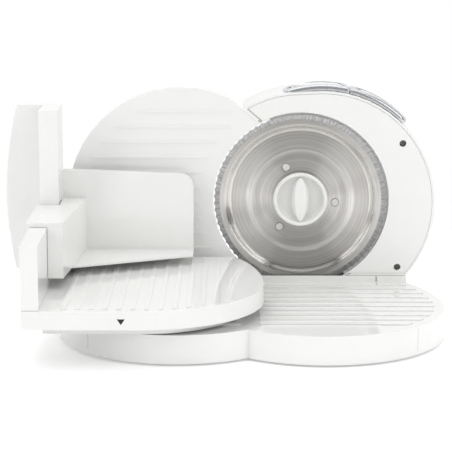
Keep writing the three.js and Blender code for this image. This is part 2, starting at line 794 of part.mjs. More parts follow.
// Blade: a dished disc with a ground edge, trimmed by its scalloped outline
function blade() {
  const ringInner = bladeRadius - bevelWidth - flatRingWidth;
  const face = [
    [bladeRadius + overcut, -overcut * bevelDrop / bevelWidth],
    [bladeRadius - bevelWidth, bevelDrop],
    [ringInner, bevelDrop],
    [ringInner - dishStepWidth, bevelDrop + dishStepDepth],
    [dishRadius, dishDepth],
    [bladeHoleRadius, dishDepth],
  ];
  const back = face.map(([r, y], i) => [r, y + (i === 0 ? edgeThickness : bladeThickness)]).reverse();
  const teeth = [];
  for (let i = 0; i < 2 * bladeTeeth; i += 1) {
    const angle = Math.PI * i / bladeTeeth;
    const radius = i % 2 ? bladeRadius - toothDepth : bladeRadius;
    teeth.push([radius * Math.cos(angle), axisHeight + radius * Math.sin(angle)]);
  }
  const disk = turnedY([...face, ...back, face[0]], 0, axisHeight, 2 * midSides)
    .intersect(runBack(outline(teeth), -wall, dishDepth + 2 * bladeThickness));
  const pinHoles = pinPlaces.map(([x, z]) =>
    turnedY(bar(pinRadius + seatGap, -wall, 2 * dishDepth), x, z, slimSides));
  return cut(disk, ...pinHoles);
}

// Drive hub: a disc with three pins through the blade, on a tube that turns on the axle
const hubSocketRear = dishDepth - seatGap + knobStemLength + seatGap;
const axleFront = hubRear - axleEngagement;
function driveHub() {
  const body = turnedY([
    [knobStemRadius + runGap, hubFront],
    [hubDiscRadius, hubFront],
    [hubDiscRadius, hubFront + hubDiscThickness],
    [hubRadius, hubFront + hubDiscThickness],
    [hubRadius, hubRear],
    [axleRadius + runGap, hubRear],
    [axleRadius + runGap, axleFront - seatGap],
    [0, axleFront - seatGap],
    [0, hubSocketRear],
    [knobStemRadius + runGap, hubSocketRear],
    [knobStemRadius + runGap, hubFront],
  ], 0, axisHeight, midSides);
  const pins = pinPlaces.map(([x, z]) =>
    turnedY(bar(pinRadius, dishDepth - pinProud, hubFront + hubDiscThickness / 2), x, z, slimSides));
  return join(body, ...pins);
}

// The tooth's slant that the worm's thread asks for, as a turn about the axis at each place along it
const leadSlope = gearModule / 2 / wormPitchRadius;

function driveGear() {
  const profile = [];
  const atRoot = degrees(toothRootWidth * gearModule / 2 / gearRootRadius);
  const atTip = degrees(toothTipWidth * gearModule / 2 / gearTipRadius);
  for (let i = 0; i < gearTeeth; i += 1) {
    const middle = -90 + 360 * (i + 0.5) / gearTeeth;
    profile.push(
      onCircle(0, 0, gearRootRadius, middle - atRoot),
      onCircle(0, 0, gearTipRadius, middle - atTip),
      onCircle(0, 0, gearTipRadius, middle + atTip),
      onCircle(0, 0, gearRootRadius, middle + atRoot),
    );
  }
  const geometry = extruded(outline(profile), gearWidth).rotateX(Math.PI / 2).translate(0, gearWidth / 2, 0);
  const position = geometry.attributes.position;
  const up = new THREE.Vector3(0, 1, 0);
  for (let i = 0; i < position.count; i += 1) {
    const point = new THREE.Vector3().fromBufferAttribute(position, i);
    point.applyAxisAngle(up, point.y * leadSlope / pitchRadius);
    position.setXYZ(i, point.x, point.y, point.z);
  }
  const front = gearMiddle - gearWidth / 2;
  const rear = gearMiddle + gearWidth / 2;
  const webRim = gearRootRadius - gearRimThickness;
  const hubRim = hubRadius + gearRimThickness;
  const recess = (from, to) => turnedY(ring(hubRim, webRim, from, to), 0, axisHeight, midSides);
  return cut(solid(geometry.translate(0, gearMiddle, axisHeight)),
    recess(front - wall, gearMiddle - gearWebThickness / 2),
    recess(gearMiddle + gearWebThickness / 2, rear + wall),
    turnedY(bar(hubRadius + seatGap, front - wall, rear + wall), 0, axisHeight, midSides));
}

function bladeAxle() {
  const rear = housingRear - wall - seatGap;
  return turnedY([
    [0, axleFront],
    [axleRadius, axleFront],
    [axleRadius, rear - axleFlangeThickness],
    [axleFlangeRadius, rear - axleFlangeThickness],
    [axleFlangeRadius, rear],
    [0, rear],
  ], 0, axisHeight, midSides);
}

// Worm: one thread, as rings round the shaft whose radius follows the thread
function worm() {
  const pitch = Math.PI * gearModule;
  const tip = wormPitchRadius + toothAddendum * gearModule;
  const around = slimSides;
  const rings = Math.round(wormLength / pitch * screwSides);
  const points = [];
  const faces = [];
  const ringAt = (x, radiusAt) => {
    for (let j = 0; j < around; j += 1) {
      const angle = 2 * Math.PI * j / around;
      const radius = radiusAt(angle);
      points.push(x, radius * Math.cos(angle), radius * Math.sin(angle));
    }
  };
  for (let i = 0; i <= rings; i += 1) {
    const x = wormLength * (i / rings - 0.5);
    ringAt(x, (angle) => {
      const thread = threadMean + threadSwing * Math.cos(angle - Math.PI / 2 - 2 * Math.PI * x / pitch);
      return wormCore + (tip - wormCore) * THREE.MathUtils.clamp(thread, 0, 1);
    });
  }
  const bore = shaftRadius + seatGap;
  ringAt(wormLength / 2, () => bore);
  ringAt(-wormLength / 2, () => bore);
  const loops = rings + 3;
  for (let i = 0; i < loops; i += 1) {
    const next = (i + 1) % loops;
    for (let j = 0; j < around; j += 1) {
      const turn = (j + 1) % around;
      const [a, b, c, d] = [i * around + j, i * around + turn, next * around + turn, next * around + j];
      faces.push(a, b, c, a, c, d);
    }
  }
  const geometry = new THREE.BufferGeometry();
  geometry.setAttribute('position', new THREE.Float32BufferAttribute(points, 3));
  geometry.setIndex(faces);
  return solid(geometry.translate(0, gearMiddle, wormHeight));
}

function wormBearing() {
  const left = shaftStart + seatGap;
  const bore = shaftRadius + runGap;
  return cut(block(left, left + bearingThickness, gearPlateRear + seatGap, gearMiddle + bearingRise,
    wormHeight - bearingRise, wormHeight + bore + wall / 2),
  turnedX(bar(bore, left - wall, left + bearingThickness + wall), gearMiddle, wormHeight, slimSides));
}

const rotorRadius = motorRadius - motorWall - 2 * runGap;
const capEnd = motorEnd + seatGap + motorEndThickness;
const fanStart = capEnd + 2 * runGap;
function motorStator() {
  const inner = motorRadius - motorWall;
  return cut(turnedX(bar(motorRadius, motorStart, motorEnd), gearMiddle, wormHeight, midSides),
    turnedX(bar(inner, motorStart + motorEndThickness, motorEnd + wall), gearMiddle, wormHeight, midSides),
    turnedX(bar(shaftRadius + runGap, motorStart - wall, motorEnd), gearMiddle, wormHeight, slimSides));
}

const motorEndCap = () =>
  turnedX(ring(shaftRadius + runGap, motorRadius, motorEnd + seatGap, capEnd),
    gearMiddle, wormHeight, midSides);

function motorRotor() {
  const front = motorStart + motorEndThickness + runGap;
  const rear = motorEnd - runGap;
  const end = fanStart + fanThickness + wall;
  return turnedX([
    [0, shaftStart],
    [shaftRadius, shaftStart],
    [shaftRadius, front],
    [rotorRadius, front],
    [rotorRadius, rear],
    [shaftRadius, rear],
    [shaftRadius, end],
    [0, end],
  ], gearMiddle, wormHeight, midSides);
}

function coolingFan() {
  const fanRadius = motorRadius - fanInset;
  const hubOuter = shaftRadius + seatGap + wall;
  const vanes = [];
  for (let i = 0; i < fanBlades; i += 1) {
    const geometry = new THREE.BoxGeometry(fanThickness, wall / 2, fanRadius - hubOuter)
      .translate(fanStart + fanThickness / 2, 0, (fanRadius + hubOuter - wall) / 2)
      .rotateX(2 * Math.PI * i / fanBlades);
    vanes.push(solid(geometry.translate(0, gearMiddle, wormHeight)));
  }
  const hub = turnedX(bar(hubOuter, fanStart, fanStart + fanThickness), gearMiddle, wormHeight, slimSides);
  const bore = bar(shaftRadius + seatGap, fanStart - wall, fanStart + fanThickness + wall);
  return cut(join(hub, ...vanes), turnedX(bore, gearMiddle, wormHeight, slimSides));
}

function motorMount() {
  const floor = deckTop + 2 * seatGap + wall;
  return cut(block(motorStart + mountInset, motorEnd - mountInset, gearMiddle - mountWidth / 2,
    gearMiddle + mountWidth / 2, floor, floor + mountRise),
  turnedX(bar(motorRadius + seatGap, motorStart - wall, motorEnd + wall), gearMiddle, wormHeight, midSides));
}

function cordGland() {
  const inside = housingRear - wall - seatGap;
  const outside = housingRear + seatGap;
  return turnedY([
    [glandBore, inside - glandFlangeThickness],
    [glandFlangeRadius, inside - glandFlangeThickness],
    [glandFlangeRadius, inside],
    [glandRadius, inside],
    [glandRadius, outside],
    [glandFlangeRadius, outside],
    [glandFlangeRadius - glandShoulder, outside + glandFlangeThickness],
    [glandRadius, outside + glandNose],
    [glandBore, outside + glandNose],
    [glandBore, inside - glandFlangeThickness],
  ], glandX, deckTop + glandRise, slimSides);
}

// Blade knob: a dished disc with a lens-shaped fin, on a stem into the hub
function bladeKnob() {
  const back = dishDepth - seatGap;
  const floor = knobFront + knobDish;
  const disk = turnedY([
    [0, floor],
    [knobRadius - 2 * knobRimWidth, floor - knobFloorRise],
    [knobRadius - knobRimWidth, knobFront],
    [knobRadius - knobRimWidth / 2, knobFront - knobCrown],
    [knobRadius - knobEdgeWidth, knobFront + knobEdgeDepth],
    [knobRadius, knobFront + knobShoulder],
    [knobRadius, back],
    [knobStemRadius, back],
    [knobStemRadius, back + knobStemLength],
    [0, back + knobStemLength],
  ], 0, axisHeight, 1.5 * midSides);
  const sweep = (finLength ** 2 + finWidth ** 2) / (4 * finWidth);
  const half = degrees(Math.asin(finLength / 2 / sweep));
  const lens = outline([
    ...arc(finWidth / 2 - sweep, axisHeight, sweep, -half, half, 10),
    ...arc(sweep - finWidth / 2, axisHeight, sweep, 180 - half, 180 + half, 10).slice(1, -1),
  ]);
  return join(disk, runBack(lens, knobFront, floor + wall / 2));
}

// Gauge plate: a disc cut round the blade, along the cover's slanting end and above the deck
function gaugePlate() {
  const trim = (body) => cut(body.intersect(belowHorn(hornMargin + gaugeHornGap, -farAway, farAway)),
    turnedY(bar(gaugeCut, -farAway, farAway), 0, axisHeight, wideSides),
    block(-farAway, farAway, -farAway, farAway, -farAway, gaugeFootZ));
  const plate = turnedY(bar(gaugeRadius, 0, gaugeThickness), gaugeX, gaugeZ, 2 * midSides);
  const rim = turnedY(ring(gaugeRadius - gaugeRimWidth, gaugeRadius, gaugeThickness / 2, gaugeRimDepth),
    gaugeX, gaugeZ, 2 * midSides);
  const ribs = [];
  for (let i = 0; i < gaugeRibs; i += 1) {
    const rise = gaugeRibTop - i * gaugeRibPitch;
    const z = axisHeight + rise;
    const reach = gaugeRadius - gaugeRibLeftInset;
    const left = gaugeX - Math.sqrt(Math.max(reach ** 2 - (z - gaugeZ) ** 2, 0));
    const clear = bladeRadius + gaugeRibBladeGap;
    const right = Math.min(-Math.sqrt(Math.max(clear ** 2 - rise ** 2, 0)), gaugeRibRight);
    const shape = roundEnds(left, z - gaugeRibWidth / 2, right, z + gaugeRibWidth / 2);
    ribs.push(runBack(shape, -gaugeRibHeight, gaugeThickness / 2));
  }
  const ribField = trim(turnedY(bar(gaugeRadius, -gaugeRibHeight, gaugeThickness / 2),
    gaugeX, gaugeZ, 2 * midSides));
  return join(trim(plate), trim(rim), join(...ribs).intersect(ribField));
}

const rodPlaces = { left: carrierX - rodSpacing / 2, right: carrierX + rodSpacing / 2 };
function gaugeCarrier() {
  const [halfWide, halfHigh] = [carrierWidth / 2, carrierHeight / 2];
  const plate = runBack(rounded(carrierX - halfWide, carrierZ - halfHigh, carrierX + halfWide,
    carrierZ + halfHigh, Array(4).fill(carrierCorner)), carrierFront, carrierRear);
  const sockets = Object.values(rodPlaces).map((x) =>
    turnedY(bar(rodRadius + sleeveWall, carrierFront + wall / 2, carrierRear + rodSocket),
      x, rodZ, slimSides));
  const nut = turnedY(bar(nutRadius, carrierFront + wall / 2, carrierRear + nutLength),
    carrierX, spindleZ, slimSides);
  const borePlaces = [[rodPlaces.left, rodZ], [rodPlaces.right, rodZ], [carrierX, spindleZ]];
  const bores = borePlaces.map(([x, z]) =>
    turnedY(bar(rodRadius + seatGap, rodFront - seatGap, farAway), x, z, slimSides));
  return cut(join(plate, ...sockets, nut), ...bores);
}

const guideRod = (x) => turnedY(bar(rodRadius, rodFront, rodFront + rodLength), x, rodZ, slimSides);

// Gauge tower: a hollow box on the deck whose front wall guides the rods
function gaugeTower() {
  const floor = deckTop + seatGap;
  const shape = (inset) => rounded(carrierX - towerWidth / 2 + inset, floor - (inset > 0 ? wall : 0),
    carrierX + towerWidth / 2 - inset, floor + towerHeight - inset,
    [0, 0, towerCorner - inset, towerCorner - inset]);
  const shell = cut(runBack(shape(0), towerFront, towerRear),
    runBack(shape(wall), towerFront + wall, towerRear - wall));
  const sleeves = Object.values(rodPlaces).map((x) =>
    turnedY(bar(rodRadius + sleeveWall, towerFront, towerFront + sleeveLength), x, rodZ, slimSides));
  const bores = Object.values(rodPlaces).map((x) =>
    turnedY(bar(rodRadius + runGap, towerFront - wall, towerRear - wall), x, rodZ, slimSides));
  const bosses = towerScrewPlaces.map(([x, y]) =>
    turnedZ(bar(bossRadius, floor, deckHeadLow + screwHeadHeight + pilotDepth + wall), x, y, slimSides));
  const webs = towerScrewPlaces.map(([x, y]) => block(x - wall / 2, x + wall / 2, y, towerRear - wall / 2,
    floor, deckHeadLow + screwHeadHeight + pilotDepth + wall));
  const pilots = towerScrewPlaces.map(([x, y]) =>
    turnedZ(bar(pilotRadius, 0, deckHeadLow + screwHeadHeight + pilotDepth), x, y, screwSides));
  return cut(join(shell, ...sleeves, ...bosses, ...webs), ...bores, ...pilots,
    turnedY(bar(nutRadius + runGap, towerFront - wall, towerFront + 2 * wall), carrierX, spindleZ, slimSides),
    turnedY(bar(rodRadius + runGap, towerRear - 2 * wall, towerRear + wall), carrierX, spindleZ, slimSides));
}

const spindleFront = rodFront + gaugeTravel + runGap;
const dialFront = towerRear + runGap;
const dialSocket = dialDepth / 2;
function thicknessSpindle() {
  const collarRear = towerRear - wall - runGap;
  const end = dialFront + dialSocket;
  return turnedY([
    [0, spindleFront],
    [rodRadius, spindleFront],
    [rodRadius, collarRear - wall],
    [2 * rodRadius, collarRear - wall],
    [2 * rodRadius, collarRear],
    [rodRadius, collarRear],
    [rodRadius, end],
    [0, end],
  ], carrierX, spindleZ, slimSides);
}

function thicknessKnob() {
  const rear = dialFront + dialDepth;
  const body = turnedY([
    [0, dialFront],
    [dialRadius, dialFront],
    [dialRadius, rear - wall],
    [dialRadius - wall, rear],
    [0, rear],
  ], carrierX, spindleZ, midSides);
  const grips = [];
  for (let i = 0; i < dialGrips; i += 1) {
    const [x, z] = onCircle(carrierX, spindleZ, dialRadius + wall / 2, 360 * (i + 0.5) / dialGrips);
    grips.push(turnedY(bar(wall, dialFront + wall, rear + wall), x, z, screwSides));
  }
  const socket = bar(rodRadius + seatGap, dialFront - wall, dialFront + dialSocket + seatGap);
  return cut(body, ...grips, turnedY(socket, carrierX, spindleZ, slimSides));
}

// Carriage tray: straight at the left, round at the right, hollow below, ribs on top
function trayPlan(inset) {
  const cornerY = trayFront + trayCornerRadius;
  const right = trayCornerX + trayCornerRadius;
  const sideX = right - traySideRadius;
  const sweep = degrees(Math.asin((trayRear - cornerY) / traySideRadius));
  return outline([
    [trayLeft + inset, trayRear - inset],
    [trayLeft + inset, trayFront + inset],
    ...arc(trayCornerX, cornerY, trayCornerRadius - inset, -90, 0, wideSides / 3),
    ...arc(sideX, cornerY, traySideRadius - inset, 0, sweep, 6).slice(1, -1),
    [sideX + (traySideRadius - inset) * Math.cos(radians(sweep)), trayRear - inset],
  ]);
}

const uprightScrewPlaces = [
  [trayLeft + lowWallThickness / 2, trayFront + 2 * lowWallThickness],
  [trayLeft + lowWallThickness / 2, tallWallFront - 2 * lowWallThickness],
];
const trayHeadLow = trayTop - wall - seatGap - screwHeadHeight;

// Apron under the tray: a wall that stands clear of the base's ribs and closes the gap at the front
function trayApron() {
  return cut(raised(trayPlan(apronInset), rimTop + baseRibHeight + runGap, trayTop - wall / 2),
    raised(trayPlan(apronInset + wall), 0, farAway))
    .intersect(block(-farAway, farAway, -farAway, trayFront + apronDepth, 0, farAway));
}

function carriageTray() {
  const ribs = [];
  for (let i = 0; i < trayRibs; i += 1) {
    const x = trayLeft + trayRibInset + i * trayRibPitch;
    ribs.push(block(x - trayRibWidth / 2, x + trayRibWidth / 2, -farAway, farAway, trayTop - wall / 2,
      trayTop + trayRibHeight));
  }
  const field = raised(trayPlan(trayRibMargin), trayTop - wall, trayTop + wall);
  const shell = cut(raised(trayPlan(0), trayBottom, trayTop),
    raised(trayPlan(wall), trayBottom - wall, trayTop - wall));
  const holes = uprightScrewPlaces.map(([x, y]) => turnedZ(bar(pilotRadius, 0, farAway), x, y, screwSides));
  return cut(join(shell, trayApron(), join(...ribs).intersect(field)), ...holes);
}

function runner(ribCount) {
  const start = trayLeft + runnerInset;
  const y = -baseRibFirst - ribCount * baseRibPitch;
  return block(start, start + runnerLength, y - runnerWidth / 2, y + runnerWidth / 2,
    rimTop + seatGap, trayTop - wall - seatGap);
}

function carriageUpright() {
  const floor = trayTop + seatGap;
  const low = block(trayLeft, lowWallRight, trayFront, tallWallFront + wall, floor, lowWallTop);
  const tall = block(trayLeft, tallWallRight, tallWallFront, tallWallRear, floor, tallWallTop);
  const hollow = join(
    block(trayLeft + wall, lowWallRight - wall, trayFront + wall, tallWallFront, 0, lowWallTop - wall),
    block(trayLeft + wall, tallWallRight - wall, tallWallFront + wall, tallWallRear - wall,
      0, tallWallTop - wall),
  );
  const bossHalf = (lowWallThickness - wall) / 2;
  const bosses = uprightScrewPlaces.map(([x, y]) =>
    block(x - bossHalf, x + bossHalf, y - bossRadius, y + bossRadius, floor,
      trayHeadLow + screwHeadHeight + pilotDepth + wall));
  const pilots = uprightScrewPlaces.map(([x, y]) =>
    turnedZ(bar(pilotRadius, 0, trayHeadLow + screwHeadHeight + pilotDepth), x, y, screwSides));
  const middle = (tallWallTop + wingFoot) / 2;
  const edge = new THREE.QuadraticBezierCurve(
    new THREE.Vector2(trayLeft - wingFootReach, wingFoot),
    new THREE.Vector2(trayLeft - 2 * wingReach + (wingTopReach + wingFootReach) / 2, middle),
    new THREE.Vector2(trayLeft - wingTopReach, tallWallTop),
  ).getPoints(12).map(({ x, y }) => [x, y]);
  const wing = runBack(outline([
    [trayLeft + wall / 2, tallWallTop],
    ...edge.reverse(),
    [trayLeft - seatGap, wingFoot],
    [trayLeft - seatGap, floor],
    [trayLeft + wall / 2, floor],
  ]), tallWallRear - wingThickness, tallWallRear);
  return cut(join(cut(join(low, tall), hollow), wing, ...bosses), ...pilots);
}

// Pusher: a saddle over the low wall, a flared box beside it, the plate and its foot shelf
function pusher() {
  const rear = saddleRear;
  const under = lowWallTop + seatGap;
  const top = under + saddleThickness;
  const legOuter = trayLeft - seatGap - saddleLegThickness;
  const boxLeft = lowWallRight + seatGap;
  const boxRight = boxLeft + boxWidth;
  const saddle = join(
    block(legOuter, boxLeft + boxWall, saddleFront, rear, under, top),
    block(legOuter, legOuter + saddleLegThickness, saddleFront, rear, top - saddleLegDrop, top),
  );
  const boxPlan = (inset, back) => outline([
    [boxLeft + inset, saddleFront + inset],
    [boxRight - inset, saddleFront + inset],
    [boxRight + boxFlare - inset, back],
    [pusherPlateLeft + inset, back],
    [pusherPlateLeft + inset, rear - inset],
    [boxLeft + inset, rear - inset],
  ]);
  const box = cut(raised(boxPlan(0, pusherPlateRear), shelfTop, top),
    raised(boxPlan(boxWall, pusherPlateFront), shelfTop - wall, top - boxWall));
  // The plate's top falls towards its right end
  const slope = Math.atan2(pusherPlateSlope, pusherPlateWidth);
  const underTop = (x, radius) =>
    pusherPlateTop + (pusherPlateRight - x) * Math.tan(slope) - radius / Math.cos(slope);
  const crown = 90 - degrees(slope);
  const cornerX = pusherPlateRight - pusherPlateCorner;
  const edgeX = pusherPlateLeft + pusherPlateEdge;
  const plate = runBack(outline([
    [pusherPlateLeft, shelfTop - shelfThickness],
    [pusherPlateRight, shelfTop - shelfThickness],
    ...arc(cornerX, underTop(cornerX, pusherPlateCorner), pusherPlateCorner, 0, crown, cornerSteps),
    ...arc(edgeX, underTop(edgeX, pusherPlateEdge), pusherPlateEdge, crown, 180, cornerSteps),
  ]), pusherPlateFront, pusherPlateRear);
  // The shelf runs from the box's flank to the plate's right end
  const flankAt = (y) => boxRight + boxFlare * (y - saddleFront) / (pusherPlateRear - saddleFront);
  const shelfCorner = pusherPlateFront - shelfDepthLeft;
  const shelf = raised(outline([
    [flankAt(pusherPlateFront) - boxWall, pusherPlateFront + overcut],
    [flankAt(shelfCorner) - boxWall, shelfCorner],
    [pusherPlateRight, pusherPlateFront - shelfDepthRight],
    [pusherPlateRight, pusherPlateFront + overcut],
  ]), shelfTop - shelfThickness, shelfTop);
  return join(saddle, box, plate, shelf);
}

// The assembly
const slicer = new THREE.Group();
const add = (name, body, finish) => slicer.add(piece(name, body, finish));

add('base_shell', baseShell(), whitePlastic);
add('base_plate', basePlate(), greyPlastic);
Object.entries(footPlaces).forEach(([name, place]) => add(name, foot(place), blackRubber));
const baseScrew = screwProfile(plateLift - seatGap - screwHeadHeight);
baseScrewPlaces.forEach(([x, y], i) =>
  add(`base_screw_${i + 1}`, turnedZ(baseScrew, x, y, screwSides), zincSteel));

add('motor_housing', motorHousing(), whitePlastic);
add('front_cover', frontCover(), whitePlastic);
add('gear_plate', gearPlate(), greyPlastic);
const coverScrew = screwProfile(cupFloor - coverThickness - seatGap - screwHeadHeight);
Object.entries(coverScrewPlaces).forEach(([name, [x, z]]) =>
  add(name, turnedY(coverScrew, x, z, screwSides), darkMetal));
const gearPlateScrew = screwProfile(gearPlateFront - screwHeadHeight);
gearPlateScrewPlaces.forEach(([x, z], i) =>
  add(`gear_plate_screw_${i + 1}`, turnedY(gearPlateScrew, x, z, screwSides), zincSteel));
housingScrewPlaces.forEach(([x, y], i) =>
  add(`housing_screw_${i + 1}`, turnedZ(screwProfile(deckHeadLow), x, y, screwSides), zincSteel));
add('cord_gland', cordGland(), blackRubber);

add('front_bush', frontBush(), greyPlastic);
add('blade_axle', bladeAxle(), zincSteel);
add('worm_bearing', wormBearing(), greyPlastic);
add('motor_stator', motorStator(), darkMetal);
add('motor_end_cap', motorEndCap(), zincSteel);
add('motor_mount', motorMount(), greyPlastic);
Object.entries(buttonPlaces).forEach(([name, place]) => {
  add(`${name}_bezel`, bezel(place), chrome);
  add(`${name}_button`, button(place), whitePlastic);
  add(`${name}_switch`, switchBody(place), blackRubber);
});

add('blade', blade(), brushedSteel);
add('drive_hub', driveHub(), whitePlastic);
add('drive_gear', driveGear(), greyPlastic);
add('blade_knob', bladeKnob(), whitePlastic);
add('motor_rotor', motorRotor(), zincSteel);
add('worm', worm(), zincSteel);
add('cooling_fan', coolingFan(), greyPlastic);

add('gauge_plate', gaugePlate(), whitePlastic);
add('gauge_carrier', gaugeCarrier(), whitePlastic);
Object.entries(rodPlaces).forEach(([side, x]) => add(`guide_rod_${side}`, guideRod(x), zincSteel));
add('gauge_tower', gaugeTower(), whitePlastic);
towerScrewPlaces.forEach(([x, y], i) =>
  add(`tower_screw_${i + 1}`, turnedZ(screwProfile(deckHeadLow), x, y, screwSides), zincSteel));
add('thickness_spindle', thicknessSpindle(), zincSteel);
add('thickness_knob', thicknessKnob(), whitePlastic);

add('carriage_tray', carriageTray(), whitePlastic);
add('runner_front', runner(runnerFrontRibCount), greyPlastic);
add('runner_rear', runner(runnerRearRibCount), greyPlastic);
add('carriage_upright', carriageUpright(), whitePlastic);
uprightScrewPlaces.forEach(([x, y], i) =>
  add(`upright_screw_${i + 1}`, turnedZ(screwProfile(trayHeadLow), x, y, screwSides), zincSteel));
add('pusher', pusher(), whitePlastic);

// The part's origin: the middle of its box, on the surface it stands on
const bounds = new THREE.Box3().setFromObject(slicer);
const middle = bounds.getCenter(new THREE.Vector3());
slicer.position.set(-middle.x, -middle.y, -bounds.min.z);

export default slicer;
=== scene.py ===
import json
import math

import bmesh
import bpy
from mathutils import Matrix, Vector


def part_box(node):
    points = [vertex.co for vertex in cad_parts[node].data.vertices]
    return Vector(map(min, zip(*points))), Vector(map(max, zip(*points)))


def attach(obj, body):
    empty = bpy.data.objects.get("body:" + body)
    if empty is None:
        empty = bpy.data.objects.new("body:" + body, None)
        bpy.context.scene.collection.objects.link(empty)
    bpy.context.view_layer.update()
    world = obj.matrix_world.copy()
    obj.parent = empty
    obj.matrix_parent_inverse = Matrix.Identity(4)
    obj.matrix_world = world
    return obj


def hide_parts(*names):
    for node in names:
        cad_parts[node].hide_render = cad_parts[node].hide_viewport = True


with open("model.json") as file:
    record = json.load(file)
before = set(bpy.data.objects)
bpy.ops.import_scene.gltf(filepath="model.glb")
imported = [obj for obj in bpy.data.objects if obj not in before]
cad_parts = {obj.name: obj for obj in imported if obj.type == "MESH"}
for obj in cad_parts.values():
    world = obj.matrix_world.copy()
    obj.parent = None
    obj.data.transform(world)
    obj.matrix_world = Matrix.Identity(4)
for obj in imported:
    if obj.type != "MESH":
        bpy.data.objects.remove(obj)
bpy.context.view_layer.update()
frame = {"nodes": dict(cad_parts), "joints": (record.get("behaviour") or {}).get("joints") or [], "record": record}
nodes = frame["nodes"]
joints = {joint["name"]: joint for joint in frame["joints"]}
mm = 0.001
bladeAxis = Vector(joints["blade_spin"]["pos_m"])
print("frame loaded with", len(nodes), "nodes")


# Camera at the photo's angle: its place is given from the blade's middle, in metres
cameraSetup = {
    "fromBlade": (-0.0704, -1.9362, 0.3656),
    "pitch": 11.53,
    "yaw": 0.33,
    "lens": 143.0,
    "sensor": 36.0,
    "clipEnd": 20.0,
}


def addCamera():
    setup = cameraSetup
    data = bpy.data.cameras.new("photoCamera")
    data.lens = setup["lens"]
    data.sensor_width = setup["sensor"]
    data.clip_end = setup["clipEnd"]
    camera = bpy.data.objects.new("photoCamera", data)
    camera.location = bladeAxis + Vector(setup["fromBlade"])
    camera.rotation_euler = (math.radians(90 - setup["pitch"]), 0, math.radians(setup["yaw"]))
    bpy.context.collection.objects.link(camera)
    bpy.context.scene.camera = camera


addCamera()
print("camera set")


# Node helpers
def addNode(tree, kind, **settings):
    node = tree.nodes.new(kind)
    for name, value in settings.items():
        setattr(node, name, value)
    return node


def feed(tree, socket, value):  # a number is set, an output is linked
    if isinstance(value, (int, float)):
        socket.default_value = value
    else:
        tree.links.new(value, socket)


def mathNode(tree, operation, first, second=0.0):
    node = addNode(tree, "ShaderNodeMath", operation=operation)
    feed(tree, node.inputs[0], first)
    feed(tree, node.inputs[1], second)
    return node.outputs[0]


def noiseNode(tree, vector, scale, detail, roughness=0.5):
    node = addNode(tree, "ShaderNodeTexNoise")
    feed(tree, node.inputs["Vector"], vector)
    feed(tree, node.inputs["Scale"], scale)
    feed(tree, node.inputs["Detail"], detail)
    feed(tree, node.inputs["Roughness"], roughness)
    return node.outputs["Fac"]


def mapValue(tree, value, low, high, fromLow=0.3, fromHigh=0.7):
    node = addNode(tree, "ShaderNodeMapRange")
    feed(tree, node.inputs["Value"], value)
    feed(tree, node.inputs["From Min"], fromLow)
    feed(tree, node.inputs["From Max"], fromHigh)
    feed(tree, node.inputs["To Min"], low)
    feed(tree, node.inputs["To Max"], high)
    return node.outputs["Result"]


def mixColours(tree, factor, low, high):
    node = addNode(tree, "ShaderNodeMix", data_type="RGBA")
    feed(tree, node.inputs["Factor"], factor)
    for label, colour in (("A", low), ("B", high)):
        if isinstance(colour, tuple):
            node.inputs[label].default_value = (*colour, 1)
        else:
            tree.links.new(colour, node.inputs[label])
    return node.outputs["Result"]


def bumpNormal(tree, shader, height, strength, depth):
    node = addNode(tree, "ShaderNodeBump")
    feed(tree, node.inputs["Strength"], strength)
    feed(tree, node.inputs["Distance"], depth * mm)
    feed(tree, node.inputs["Height"], height)
    feed(tree, shader.inputs["Normal"], node.outputs["Normal"])


def objectPlace(tree):
    return addNode(tree, "ShaderNodeTexCoord").outputs["Object"]


def splitPlace(tree):
    node = addNode(tree, "ShaderNodeSeparateXYZ")
    feed(tree, node.inputs["Vector"], objectPlace(tree))
    return node.outputs


def newGroup(name, inputs, outputs):
    group = bpy.data.node_groups.new(name, "ShaderNodeTree")
    for way, labels in (("INPUT", inputs), ("OUTPUT", outputs)):
        for label in labels:
            group.interface.new_socket(name=label, in_out=way, socket_type="NodeSocketFloat")
    return group, addNode(group, "NodeGroupInput"), addNode(group, "NodeGroupOutput")


def placeGroup(tree, group, values):
    node = addNode(tree, "ShaderNodeGroup", node_tree=group)
    for label, value in values.items():
        feed(tree, node.inputs[label], value)
    return node


def newMaterial(name):
    material = bpy.data.materials.new(name)
    material.use_nodes = True
    return material, material.node_tree, material.node_tree.nodes["Principled BSDF"]


# Moulded skin: slow mottling, uneven gloss and the fine ripple of a moulded face
mouldingSetup = {
    "mottleDetail": 3.0,
    "glossFiner": 3.1,  # times the mottling's scale
    "glossDetail": 4.0,
    "glossRoughness": 0.6,
    "rippleDetail": 1.0,
    "rippleDepth": 0.2,
}


def makeMoulding():
    setup = mouldingSetup
    group, given, made = newGroup("moulding", ("Mottle Scale", "Ripple Scale"), ("Mottle", "Gloss", "Height"))
    place = objectPlace(group)
    mottleScale = given.outputs["Mottle Scale"]
    glossScale = mathNode(group, "MULTIPLY", mottleScale, setup["glossFiner"])
    mottle = noiseNode(group, place, mottleScale, setup["mottleDetail"])
    gloss = noiseNode(group, place, glossScale, setup["glossDetail"], setup["glossRoughness"])
    ripple = noiseNode(group, place, given.outputs["Ripple Scale"], setup["rippleDetail"])
    feed(group, made.inputs["Mottle"], mottle)
    feed(group, made.inputs["Gloss"], gloss)
    feed(group, made.inputs["Height"], ripple)
    return group


# Turned metal: fine rings round an axis along Y, broken up a little along each ring
turningSetup = {
    "driftScale": 9.0,
    "driftDetail": 1.0,
    "driftReach": 1.5,
    "ringDetail": 3.0,
    "ringRoughness": 0.7,
    "broadScale": 0.12,
    "broadDetail": 2.0,
    "toneRange": (0.34, 0.66),
    "bandCore": 0.6,  # share of a pressed ring that has its full effect
    "grainTurn": 0.25,
    "bump": 0.05,
    "bumpDepth": 0.05,
}


